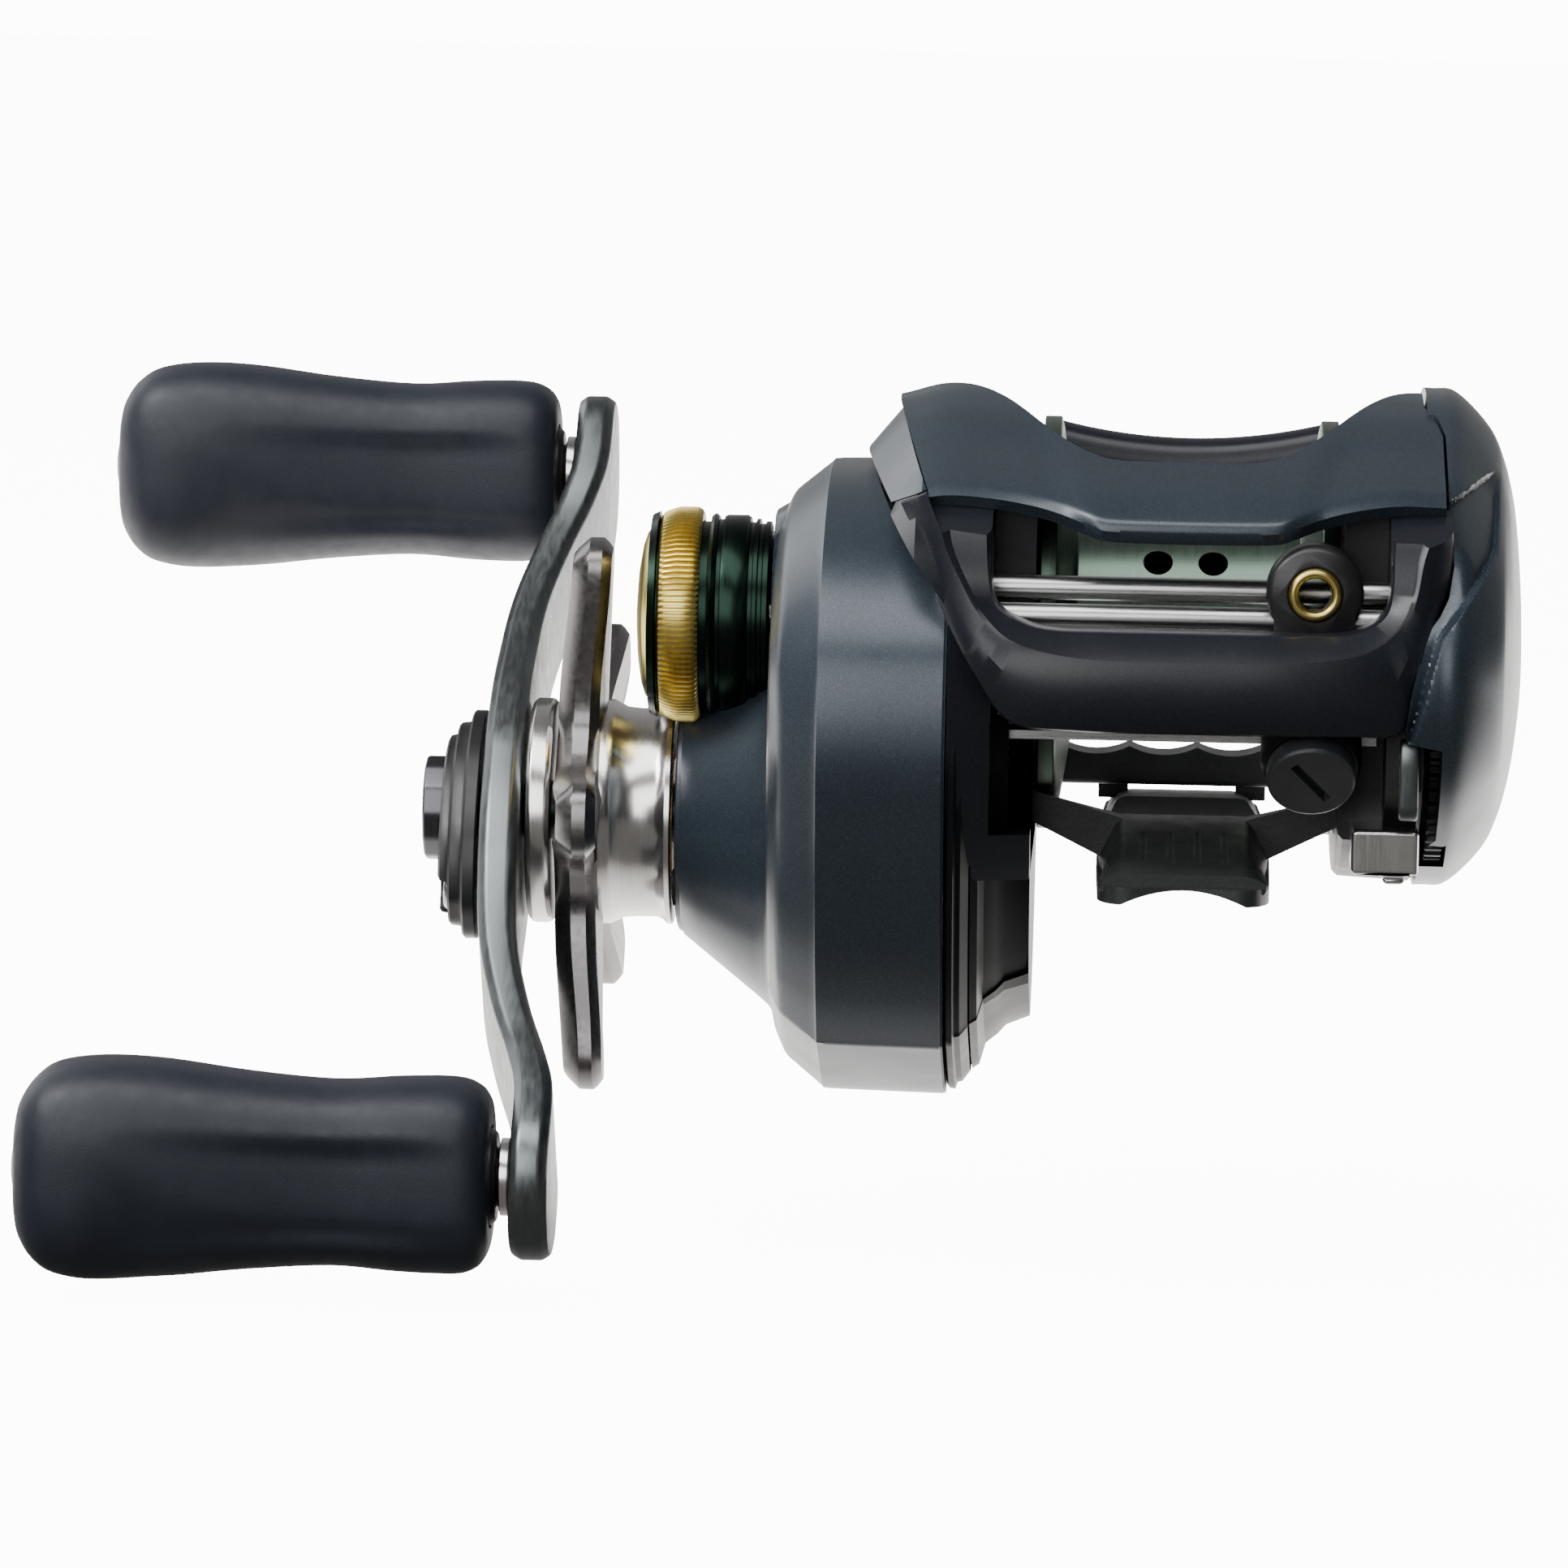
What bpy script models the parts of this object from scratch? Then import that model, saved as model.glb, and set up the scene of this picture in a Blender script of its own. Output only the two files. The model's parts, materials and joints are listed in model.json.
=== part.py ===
"""Low-profile baitcasting reel, modelled as the assembly that comes apart on a bench.

Shapes are written in millimetres about the spool axis: X runs along the spool (handle side negative,
palm side positive), Y from the front of the reel (negative) to its back, Z up. place() carries them to
the part's frame, whose origin is the centre of the foot's underside, and to Blender's metres.
Run with: blender --background --python part.py
"""

import math

import bmesh
import bpy
from mathutils import Matrix, Vector

MM = 0.001
SPOOL_HEIGHT = 20.0  # spool axis above the underside of the foot
GAP = 0.3  # clearance between pieces that touch
MANY_CUTS = ("frame", "gear_side_cover", "handle_arm")  # pieces on which the EXACT solver leaves open edges

# Places (Y, Z) of the shafts and rods that lie along X.
SPOOL = (0.0, 0.0)
DRIVE = (5.0, -17.6)
WORM = (-21.3, -4.2)
BRAKE = (-12.6, -8.6)
GUIDE_ROD = (-24.4, 3.1)
CROSS_ROD = (-21.6, 5.1)
EYELET_HEIGHT = 5.5
LOCK_PIVOT = (-27.4, -7.4)
COVER_SCREWS = ((-15.5, 0.6), (22.8, -2.0), (5.0, -37.2))

# Gear train: the two shafts set the module.
DRIVE_TEETH, PINION_TEETH = 62, 10
MODULE = 2 * math.dist(DRIVE, SPOOL) / (DRIVE_TEETH + PINION_TEETH)
WIND_MODULE = 0.75
WIND_DRIVER_TEETH, WIND_IDLER_TEETH, WIND_COG_TEETH = 30, 20, 12

# Widths along X.
SPOOL_HALF = 12.3
SPOOL_RIM_RADIUS = 17.4
FRAME_WALL_INNER = 13.0
FRAME_WALL_OUTER = 14.6
GEAR_SEAM = -20.4
GEAR_RIM_EDGE = -30.6
GEAR_FACE = -34.3
BOSS_FACE = -42.8
PALM_SEAM = 19.4
PALM_FACE = 27.4
BAY_HALF = 15.8  # half width of the line guide's bay behind the front window

# Handle.
HANDLE_LENGTH = 41.7
HANDLE_LEAN = math.radians(218.8)  # direction of the lower knob in the Y-Z plane at rest
KNOB_INNER = -56.0

# Levelwind: the pawl points forward and down from the worm.
PAWL_SLOPE = math.radians(215.7)
GUIDE_X = 10.1

# Side outlines (Y, Z), clockwise from the top as seen from the handle side.
GEAR_OUTLINE = [
    (-4.0, 13.3), (-13.0, 11.4), (-21.5, 7.0), (-27.0, 0.5), (-28.6, -7.5), (-26.4, -16.5),
    (-21.4, -24.6), (-15.0, -31.5), (-8.5, -37.0), (-0.5, -40.3), (8.0, -40.4), (16.0, -37.4),
    (22.6, -31.8), (27.0, -24.0), (28.8, -15.0), (27.8, -6.0), (24.0, 2.0), (17.0, 8.8), (7.0, 13.0),
]
SHOULDER_OUTLINE = [
    (-4.0, 20.2), (-12.0, 17.6), (-20.0, 13.6), (-26.5, 8.6), (-29.6, 1.0), (-29.4, -7.5), (-26.6, -16.5),
    (-21.4, -24.6), (-15.0, -31.5), (-8.5, -37.0), (-0.5, -40.3), (8.0, -40.4), (16.0, -37.4),
    (22.6, -31.8), (27.0, -24.0), (29.0, -14.0), (29.0, -2.0), (25.5, 8.0), (18.0, 15.3), (7.0, 19.6),
]
PALM_OUTLINE = [
    (-4.0, 20.2), (-12.0, 17.6), (-20.0, 13.6), (-26.5, 8.6), (-30.5, 2.5), (-31.0, -4.0), (-27.5, -10.0),
    (-20.5, -15.0), (-12.0, -19.0), (-3.0, -21.2), (6.0, -21.3), (15.0, -19.0), (22.5, -14.0),
    (27.5, -6.5), (28.0, 2.0), (24.5, 10.0), (17.0, 16.2), (7.0, 19.7),
]


# ---------------------------------------------------------------- Materials

def material(name, colour, metallic, roughness):
    made = bpy.data.materials.new(name)
    made.use_nodes = True
    shader = made.node_tree.nodes["Principled BSDF"]
    shader.inputs["Base Color"].default_value = (*colour, 1.0)
    shader.inputs["Metallic"].default_value = metallic
    shader.inputs["Roughness"].default_value = roughness
    return made


# ---------------------------------------------------------------- Curves and outlines

def smooth_loop(points, steps=2):
    """A closed curve through the points (Catmull-Rom), with this many steps from each to the next."""
    count = len(points)
    loop = []
    for i in range(count):
        a, b, c, d = (Vector(points[(i + k) % count]) for k in (-1, 0, 1, 2))
        for step in range(steps):
            t = step / steps
            loop.append(tuple(0.5 * (
                2 * b + (c - a) * t + (2 * a - 5 * b + 4 * c - d) * t * t
                + (3 * b - a - 3 * c + d) * t * t * t
            )))
    return loop


def inset_loop(loop, depth):
    """The loop moved inwards by depth, along the normal at each of its points."""
    count = len(loop)
    area = sum(
        loop[i][0] * loop[(i + 1) % count][1] - loop[(i + 1) % count][0] * loop[i][1] for i in range(count)
    )
    side = 1.0 if area > 0 else -1.0
    moved = []
    for i, point in enumerate(loop):
        before, after = Vector(loop[i - 1]), Vector(loop[(i + 1) % count])
        along = (after - before).normalized()
        moved.append((point[0] - side * along.y * depth, point[1] + side * along.x * depth))
    return moved


def circle(centre, radius, count, start=0.0):
    return [
        (
            centre[0] + radius * math.cos(start + 2 * math.pi * i / count),
            centre[1] + radius * math.sin(start + 2 * math.pi * i / count),
        )
        for i in range(count)
    ]


def gear_outline(centre, teeth, turn, module):
    """A spur gear of straight-sided teeth, thinned for backlash; turn places the first tooth."""
    pitch_radius = module * teeth / 2
    pitch_angle = 2 * math.pi / teeth
    steps = (
        (-0.30, pitch_radius - 1.15 * module),
        (-0.11, pitch_radius + 0.75 * module),
        (0.11, pitch_radius + 0.75 * module),
        (0.30, pitch_radius - 1.15 * module),
    )
    outline = []
    for tooth in range(teeth):
        for share, radius in steps:
            angle = turn + (tooth + share) * pitch_angle
            outline.append((centre[0] + radius * math.cos(angle), centre[1] + radius * math.sin(angle)))
    return outline


def toward(start, end):
    return math.atan2(end[1] - start[1], end[0] - start[0])


def along(start, angle, distance):
    return (start[0] + distance * math.cos(angle), start[1] + distance * math.sin(angle))


# ---------------------------------------------------------------- Meshes

def loft(sections):
    """Faces through loops of equal length, capped at both ends."""
    mesh = bmesh.new()
    rings = [[mesh.verts.new(point) for point in section] for section in sections]
    for first, second in zip(rings, rings[1:]):
        for i in range(len(first)):
            j = (i + 1) % len(first)
            mesh.faces.new((first[i], first[j], second[j], second[i]))
    mesh.faces.new(rings[0])
    mesh.faces.new(rings[-1])
    bmesh.ops.recalc_face_normals(mesh, faces=mesh.faces)
    return mesh


def prism_x(outline, start, end):
    """A (Y, Z) outline carried along X."""
    return loft([[(x, y, z) for y, z in outline] for x in (start, end)])


def prism_y(outline, start, end):
    """An (X, Z) outline carried along Y."""
    return loft([[(x, y, z) for x, z in outline] for y in (start, end)])


def prism_z(outline, start, end):
    """An (X, Y) outline carried along Z."""
    return loft([[(x, y, z) for x, y in outline] for z in (start, end)])


def turned(profile, centre=SPOOL, count=20):
    """An (X, radius) profile turned about the line along X through centre. A ring's profile is closed."""
    mesh = bmesh.new()
    y, z = centre
    on_axis = profile[0][1] == 0.0
    points = [mesh.verts.new((x, y, z + radius)) for x, radius in profile]
    pairs = list(zip(points, points[1:]))
    if not on_axis:
        pairs.append((points[-1], points[0]))
    edges = [mesh.edges.new(pair) for pair in pairs]
    bmesh.ops.spin(
        mesh, geom=points + edges, cent=(0.0, y, z), axis=(1.0, 0.0, 0.0), angle=2 * math.pi, steps=count,
        use_duplicate=False,
    )
    bmesh.ops.remove_doubles(mesh, verts=mesh.verts, dist=1e-4)
    bmesh.ops.recalc_face_normals(mesh, faces=mesh.faces)
    return mesh


def disc(start, end, radius, centre=SPOOL, count=20):
    return turned([(start, 0.0), (start, radius), (end, radius), (end, 0.0)], centre, count)


def ring(start, end, outer, inner, centre=SPOOL, count=20):
    return turned([(start, outer), (end, outer), (end, inner), (start, inner)], centre, count)


def block(low, high):
    corners = [(low[0], low[1]), (high[0], low[1]), (high[0], high[1]), (low[0], high[1])]
    return prism_z(corners, low[2], high[2])


def rod(start, end, radius, count=16):
    """A round bar between two points given in millimetres."""
    start, end = Vector(start), Vector(end)
    direction = (end - start).normalized()
    helper = Vector((1, 0, 0)) if abs(direction.x) < 0.9 else Vector((0, 1, 0))
    side = direction.cross(helper).normalized()
    other = direction.cross(side)
    spots = circle((0.0, 0.0), radius, count)
    return loft([[end_point + side * a + other * b for a, b in spots] for end_point in (start, end)])


def coil(centre, start, end, radius, wire, turns, count=8, sides=4):
    """A helical spring along X."""
    total = turns * count
    sections = []
    for i in range(total + 1):
        angle = 2 * math.pi * i / count
        out = Vector((0.0, math.cos(angle), math.sin(angle)))
        middle = Vector((start + (end - start) * i / total, *centre)) + out * radius
        sections.append([middle + out * a + Vector((b, 0, 0)) for a, b in circle((0.0, 0.0), wire, sides)])
    return loft(sections)


# ---------------------------------------------------------------- Objects

def place(point):
    return Vector((point[0], point[1], point[2] + SPOOL_HEIGHT)) * MM


def add(name, mesh, look=None, pivot=(0.0, 0.0, -SPOOL_HEIGHT)):
    """Turns a mesh in millimetres into an object in metres with its origin on pivot."""
    data = bpy.data.meshes.new(name)
    mesh.transform(Matrix.Translation(-Vector(pivot)))
    mesh.transform(Matrix.Scale(MM, 4))
    mesh.to_mesh(data)
    mesh.free()
    data.shade_smooth()
    data.set_sharp_from_angle(angle=math.radians(30))
    made = bpy.data.objects.new(name, data)
    made.location = place(pivot)
    bpy.context.scene.collection.objects.link(made)
    if look:
        data.materials.append(look)
    return made


def combine(target, operation, meshes):
    """Boolean modifiers on target, one for each mesh, whose objects are kept as hidden helpers."""
    for index, mesh in enumerate(meshes):
        helper = add(f"{target.name}_{operation.lower()}_{index}", mesh)
        helper.hide_render = True
        helper.display_type = "WIRE"
        modifier = target.modifiers.new(f"{operation} {index}", "BOOLEAN")
        modifier.operation = operation
        modifier.object = helper
        modifier.solver = "MANIFOLD" if target.name in MANY_CUTS else "EXACT"
    return target


def cut(target, *meshes):
    return combine(target, "DIFFERENCE", meshes)


def join(target, *meshes):
    return combine(target, "UNION", meshes)


def keep(target, *meshes):
    return combine(target, "INTERSECT", meshes)


def pivot_at(centre, x=0.0):
    return (x, centre[0], centre[1])


# ---------------------------------------------------------------- Frame and covers

def front_mask():
    """The frame's front view (X, Z): its shoulders slope down to the seams of the two side covers."""
    return [
        (-26.5, 13.0), (-24.3, 18.0), (-22.4, 20.0), (-13.0, 21.0), (13.0, 21.0), (21.0, 21.0),
        (22.2, 18.6), (21.3, 12.0), (20.9, 6.0), (19.1, -1.0), (19.1, -60.0), (-20.1, -60.0), (-20.1, 1.2),
    ]


def front_bar_outline():
    return [
        (-28.2, 2.0), (-29.6, 2.6), (-32.0, 0.5), (-32.4, -1.5), (-31.2, -5.7), (-29.8, -5.5), (-29.9, -1.0),
    ]


def foot_meshes():
    """The foot: a boat-shaped plate with tapered ends, and an arm up to each side wall."""
    plan = [
        (-7.2, -11.0), (-7.0, -26.0), (-5.6, -28.3), (0.0, -27.4), (5.6, -28.3), (7.0, -26.0), (7.2, -11.0),
        (7.2, 12.0), (6.6, 28.0), (4.4, 32.5), (0.0, 33.4), (-4.4, 32.5), (-6.6, 28.0), (-7.2, 12.0),
    ]
    plate = prism_z(plan, -SPOOL_HEIGHT, -18.6)
    wedge = prism_x([
        (-26.5, -19.2), (-26.5, -18.0), (-12.0, -14.8), (-6.0, -14.6), (10.0, -15.4), (29.0, -18.0),
        (29.0, -19.2),
    ], -6.6, 6.6)
    left = prism_y([(-5.0, -15.2), (-15.5, -12.2), (-15.5, -18.4), (-5.0, -19.6)], -11.0, 11.0)
    right = prism_y([(5.0, -15.2), (14.5, -12.0), (14.5, -17.6), (5.0, -19.6)], -11.0, 9.0)
    return plate, wedge, left, right


def slanted_prism(outline, grow=0.0):
    """A side outline (Y, Z) carried across between the hood's two slanting end seams."""
    return loft([
        [(-21.7 - (z - 12.2) * 0.43 - grow, y, z) for y, z in outline],
        [(20.4 + (z - 12.2) * 0.05 + grow, y, z) for y, z in outline],
    ])


def frame_parts(looks):
    """One die casting: two side walls, front bar, back bar and the foot."""
    outer = smooth_loop(SHOULDER_OUTLINE)
    frame = add("frame", loft([
        [(x, y, z) for y, z in inset_loop(outer, depth)]
        for x, depth in ((-27.0, 0.0), (-17.4, 0.0), (-FRAME_WALL_OUTER, 5.0), (-FRAME_WALL_INNER, 5.6))
    ]), looks["frame"])
    keep(frame, prism_y(front_mask(), -60, 60))
    cut(
        frame,
        prism_x(inset_loop(smooth_loop(GEAR_OUTLINE), 2.0), -40.0, -17.4),
        disc(-18.0, -FRAME_WALL_OUTER, 7.7),
        disc(-40.0, -17.4, 5.6, WORM),
    )
    join(
        frame,
        prism_x(smooth_loop(PALM_OUTLINE), FRAME_WALL_INNER, PALM_SEAM - GAP),
        block((-16.2, -26.0, 7.0), (-12.0, -16.0, 16.0)),
        prism_x(front_bar_outline(), -18.0, 18.0),
        prism_x([(22.5, -12.6), (27.2, -12.2), (26.8, -15.6), (22.5, -16.6)], -16.0, 16.0),
        disc(-18.4, -14.0, 5.2, DRIVE),
        block((13.6, -23.5, -19.7), (PALM_SEAM - GAP, -13.0, -15.8)),
        *[disc(-20.0, -15.0, 2.4, spot, 12) for spot in COVER_SCREWS],
        *foot_meshes(),
    )
    cut(
        frame,
        disc(12.0, 30.0, SPOOL_RIM_RADIUS + 0.8, count=32),
        disc(-13.4, 13.4, SPOOL_RIM_RADIUS + 0.5, count=32),
        block((-BAY_HALF, -29.2, -15.0), (BAY_HALF, -18.4, 30.0)),
        block((-BAY_HALF, -34.0, -16.0), (BAY_HALF, -24.0, -6.1)),
        disc(-BAY_HALF, BAY_HALF, 4.9, WORM),
        slanted_prism(hood_envelope(), GAP),
        disc(-16.0, -10.0, 4.6),
        disc(-20.0, -FRAME_WALL_OUTER, 4.2, DRIVE),
        disc(-30.0, -10.0, 1.4, WORM, 16),
        disc(12.0, 18.0, 1.4, WORM, 16),
        disc(-17.0, 17.0, 1.3, GUIDE_ROD, 14),
        disc(-17.0, 17.0, 1.3, CROSS_ROD, 14),
        block((16.8, -35.0, -15.6), (25.0, -25.6, -5.6)),
        *[disc(-30.0, -15.6, 1.3, spot, 12) for spot in COVER_SCREWS],
    )
    join(
        frame,
        disc(-20.8, -16.5, 0.8, wind_idler_centre(), 12),
        disc(16.3, 19.0, 0.5, LOCK_PIVOT, 10),
        *[disc(-25.6, -16.5, 0.7, spot, 10) for spot in yoke_ends()],
    )


def hood_envelope():
    """The side view (Y, Z) of the space that the hood and what lies over it take from the frame."""
    return [
        (-29.3, 7.9), (-40.0, 12.0), (-40.0, 40.0), (5.4, 40.0), (5.4, 18.6), (-4.0, 18.4), (-12.0, 15.9),
        (-17.0, 13.9), (-24.0, 11.0), (-27.2, 9.3), (-28.2, 7.8),
    ]


def hood_parts(looks):
    """The front hood: a curved roof over the line guide, scooped out over the spool."""
    hood = add("hood", slanted_prism([
        (-28.9, 8.4), (-28.2, 10.3), (-24.0, 12.9), (-17.0, 15.9), (-12.0, 17.9), (-8.0, 19.2), (-3.0, 20.3),
        (5.0, 20.4), (5.0, 19.0), (-4.0, 18.8), (-12.0, 16.3), (-17.0, 14.3), (-24.0, 11.4), (-27.0, 9.8),
        (-28.2, 8.2),
    ]), looks["body"])
    keep(hood, prism_y([
        (-30.0, 18.0), (-30.0, 30.0), (-19.5, 30.0), (-18.2, 20.4), (-14.0, 18.2), (-12.0, 17.0),
        (-9.5, 15.7),
        (-7.0, 15.1), (7.0, 15.1), (9.5, 15.7), (12.0, 17.0), (14.0, 18.2), (18.2, 20.4), (19.5, 30.0),
        (30.0, 30.0), (30.0, 12.2), (16.0, 11.8), (12.4, 10.8), (9.6, 9.5), (7.0, 9.3),
        (-6.8, 9.3), (-9.5, 9.8),
        (-12.0, 10.9), (-14.0, 11.9), (-18.0, 12.4), (-30.0, 12.6),
    ], -60, 60))


def gear_cover_parts(looks):
    """Handle-side cover: a deep shell with a cone round the drive shaft and a spigot for the cast control."""
    outer = smooth_loop(GEAR_OUTLINE)
    cover = add("gear_side_cover", loft([
        [(x, y, z) for y, z in inset_loop(outer, depth)]
        for x, depth in ((GEAR_SEAM, 0.0), (GEAR_RIM_EDGE, 0.5), (-33.4, 2.2), (GEAR_FACE, 4.2))
    ]), looks["body"])
    seam = [(-20.4, -60), (-20.4, 1.3), (-26.8, 13.2), (-27.0, 30), (-60, 30), (-60, -60)]
    keep(cover, prism_y(seam, -60, 60))
    join(
        cover,
        turned([(-30.0, 0.0), (-30.0, 17.0), (-34.6, 16.4), (BOSS_FACE, 9.9), (BOSS_FACE, 0.0)], DRIVE, 28),
    )
    cut(
        cover,
        disc(-60.0, -34.6, 9.5),
        prism_x(inset_loop(outer, 2.0), -31.0, -10.0),
        turned(
            [(-30.0, 0.0), (-30.0, 15.2), (-33.6, 13.6), (-34.0, 7.7), (-41.6, 7.7), (-41.6, 0.0)], DRIVE, 24
        ),
        disc(-50.0, -40.0, 5.4, DRIVE),
    )
    join(
        cover,
        disc(-43.0, -30.6, 6.6),
        *[disc(-32.0, -21.8, 2.4, spot, 12) for spot in COVER_SCREWS],
    )
    cut(
        cover,
        disc(-40.2, -20.0, 4.9),
        disc(-50.0, -38.0, 2.2),
        *[disc(-60.0, -10.0, 1.3, spot, 12) for spot in COVER_SCREWS],
        *[disc(-60.0, -32.9, 2.3, spot, 16) for spot in COVER_SCREWS],
    )
    for index, spot in enumerate(COVER_SCREWS, 1):
        screw = add(f"cover_screw_{index}", turned([
            (-34.0, 0.0), (-34.0, 1.9), (-33.2, 1.9), (-33.2, 1.0), (-16.0, 1.0), (-16.0, 0.0),
        ], spot, 12), looks["dark_steel"], pivot_at(spot, -34.0))
        cut(screw, block((-35.0, spot[0] - 1.4, spot[1] - 0.3), (-33.6, spot[0] + 1.4, spot[1] + 0.3)))


def palm_cover_parts(looks):
    """Palm-side cover: a shallow faceted dome, hollow behind, with a window for the brake dial."""
    outer = smooth_loop(PALM_OUTLINE)
    cover = add("palm_side_cover", loft([
        [(x, y, z) for y, z in inset_loop(outer, depth)]
        for x, depth in ((PALM_SEAM, 0.0), (22.2, 0.3), (24.9, 3.4), (26.6, 7.0), (PALM_FACE, 11.0))
    ]), looks["body"])
    keep(cover, prism_y([
        (19.4, -60.0), (19.4, -1.4), (21.2, 6.0), (21.6, 12.0), (22.5, 18.8), (21.4, 60.0), (60.0, 60.0),
        (60.0, -60.0),
    ], -60, 60))
    cut(
        cover,
        loft([
            [(x, y, z) for y, z in inset_loop(outer, depth)]
            for x, depth in ((15.0, 1.6), (22.0, 2.0), (24.2, 5.4), (25.6, 9.4))
        ]),
        block((15.0, -26.0, -19.6), (21.6, -12.6, -9.8)),
        disc(15.0, 21.6, 9.7, BRAKE, 32),
    )
    join(cover, disc(19.9, 26.3, 1.2, BRAKE, 12))


# ---------------------------------------------------------------- Handle side drive

def wind_idler_centre():
    """Where the idler meets both the driver on the drive shaft and the cog on the worm."""
    first = WIND_MODULE * (WIND_DRIVER_TEETH + WIND_IDLER_TEETH) / 2
    second = WIND_MODULE * (WIND_IDLER_TEETH + WIND_COG_TEETH) / 2
    apart = math.dist(DRIVE, WORM)
    step = (first ** 2 - second ** 2 + apart ** 2) / (2 * apart)
    side = math.sqrt(first ** 2 - step ** 2)
    return along(along(DRIVE, toward(DRIVE, WORM), step), toward(DRIVE, WORM) + math.pi / 2, side)


def meshing_turns(first, first_teeth, first_turn, second, second_teeth):
    """The turn of the second gear that puts its gap on the line of centres where the first has a tooth."""
    line = toward(first, second)
    phase = (line - first_turn) * first_teeth / (2 * math.pi)
    back = line + math.pi
    return back + (phase + 0.5) * 2 * math.pi / second_teeth


def gear(name, centre, teeth, turn, start, end, bore, look, module=WIND_MODULE):
    blank = prism_x(gear_outline(centre, teeth, turn, module), start, end)
    made = add(name, blank, look, pivot_at(centre, start))
    return cut(made, disc(start - 5, end + 5, bore, centre, 16))


def drive_train_parts(looks):
    add("drive_shaft", turned([
        (-14.95, 0.0), (-14.95, 2.5), (-54.0, 2.5), (-54.0, 2.2), (-64.0, 2.2), (-64.0, 0.0),
    ], DRIVE, 16), looks["steel"], pivot_at(DRIVE, -14.95))
    bearing = ring(-17.8, -15.3, 3.9, 2.8, DRIVE, 16)
    add("drive_shaft_bearing", bearing, looks["steel"], pivot_at(DRIVE, -17.8))
    drive_turn = 0.0
    wheel = gear("drive_gear", DRIVE, DRIVE_TEETH, drive_turn, -26.2, -23.0, 4.4, looks["brass"], MODULE)
    cut(wheel, disc(-30.0, -24.7, 12.9, DRIVE, 24))
    add("drag_washer", ring(-25.7, -25.0, 12.5, 4.4, DRIVE, 24), looks["fibre"], pivot_at(DRIVE, -25.7))
    add("drag_key_washer", ring(-26.8, -26.0, 12.3, 2.8, DRIVE, 24), looks["steel"], pivot_at(DRIVE, -26.8))
    add("drag_spring_washer", turned([
        (-27.1, 6.6), (-27.6, 6.6), (-28.9, 3.0), (-28.4, 3.0),
    ], DRIVE, 24), looks["steel"], pivot_at(DRIVE, -28.9))
    add("roller_clutch_tube", turned([
        (-29.2, 6.0), (-30.0, 6.0), (-30.0, 4.2), (-42.9, 4.2), (-42.9, 2.9), (-29.2, 2.9),
    ], DRIVE, 24), looks["steel"], pivot_at(DRIVE, -29.2))
    add("roller_clutch", ring(-41.2, -34.4, 7.3, 4.6, DRIVE, 28), looks["dark_steel"], pivot_at(DRIVE, -41.2))
    pinion_parts(looks, meshing_turns(DRIVE, DRIVE_TEETH, drive_turn, SPOOL, PINION_TEETH))


def pinion_parts(looks, turn):
    pinion = add("pinion", turned([
        (-33.8, 2.2), (-29.0, 2.2), (-22.4, 2.0), (-21.0, 2.4), (-21.0, 3.8), (-20.2, 3.8), (-20.2, 2.6),
        (-18.8, 2.6), (-18.8, 3.8), (-17.2, 3.8), (-17.2, 1.85), (-33.8, 1.85),
    ], SPOOL, 20), looks["brass"], pivot_at(SPOOL, -33.8))
    join(pinion, prism_x(gear_outline(SPOOL, PINION_TEETH, turn, MODULE), -28.9, -22.0))
    cut(pinion, disc(-40.0, -10.0, 1.85, SPOOL, 20), block((-18.5, -5.0, -0.9), (-16.0, 5.0, 0.9)))


def clutch_parts(looks):
    """Yoke that slides the pinion off the spool pin, its posts and springs, and the cam that lifts it."""
    lean = toward(SPOOL, DRIVE) + math.pi / 2
    far, near = yoke_ends()
    outline = [
        along(far, lean + math.radians(angle), 2.2) for angle in (-60, 0, 60)
    ] + [
        along(SPOOL, lean + math.radians(angle), 5.4) for angle in (60, 90, 120)
    ] + [
        along(near, lean + math.radians(angle), 2.2) for angle in (120, 180, 240)
    ] + [
        along(SPOOL, lean + math.radians(angle), 5.4) for angle in (240, 270, 300)
    ]
    yoke = add("clutch_yoke", prism_x(outline, -20.0, -19.0), looks["dark_steel"], pivot_at(SPOOL, -20.0))
    bores = [disc(-25.0, -15.0, 1.1, spot, 12) for spot in (far, near)]
    cut(yoke, disc(-25.0, -15.0, 3.1, SPOOL, 16), *bores)
    for side, spot in (("rear", far), ("front", near)):
        spring = coil(spot, -25.2, -20.5, 1.35, 0.2, 5)
        add(f"yoke_spring_{side}", spring, looks["steel"], pivot_at(spot, -25.2))
    cam = add("clutch_cam", ring(-16.8, -14.95, 7.2, 4.3, SPOOL, 20), looks["fibre"], pivot_at(SPOOL, -16.8))
    join(cam, *[
        prism_x(
            [along(SPOOL, angle + a, r) for a, r in ((-0.3, 5.0), (-0.3, 6.9), (0.3, 6.9), (0.3, 5.0))],
            -18.2, -16.0
        )
        for angle in (lean + math.pi / 2, lean - math.pi / 2)
    ])


def yoke_ends():
    """The two posts that the yoke slides on, either side of the pinion and square to the drive shaft."""
    lean = toward(SPOOL, DRIVE) + math.pi / 2
    return along(SPOOL, lean, 8.4), along(SPOOL, lean, -8.4)


# ---------------------------------------------------------------- Handle

def handle_matrix():
    """Carries (x, along the arm, across the arm) to the reel."""
    c, s = math.cos(HANDLE_LEAN), math.sin(HANDLE_LEAN)
    return Matrix(((1, 0, 0, 0), (0, c, -s, DRIVE[0]), (0, s, c, DRIVE[1]), (0, 0, 0, 1)))


def on_handle(mesh):
    mesh.transform(handle_matrix())
    return mesh


def knob_centre(side):
    return along(DRIVE, HANDLE_LEAN, side * HANDLE_LENGTH)


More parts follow.
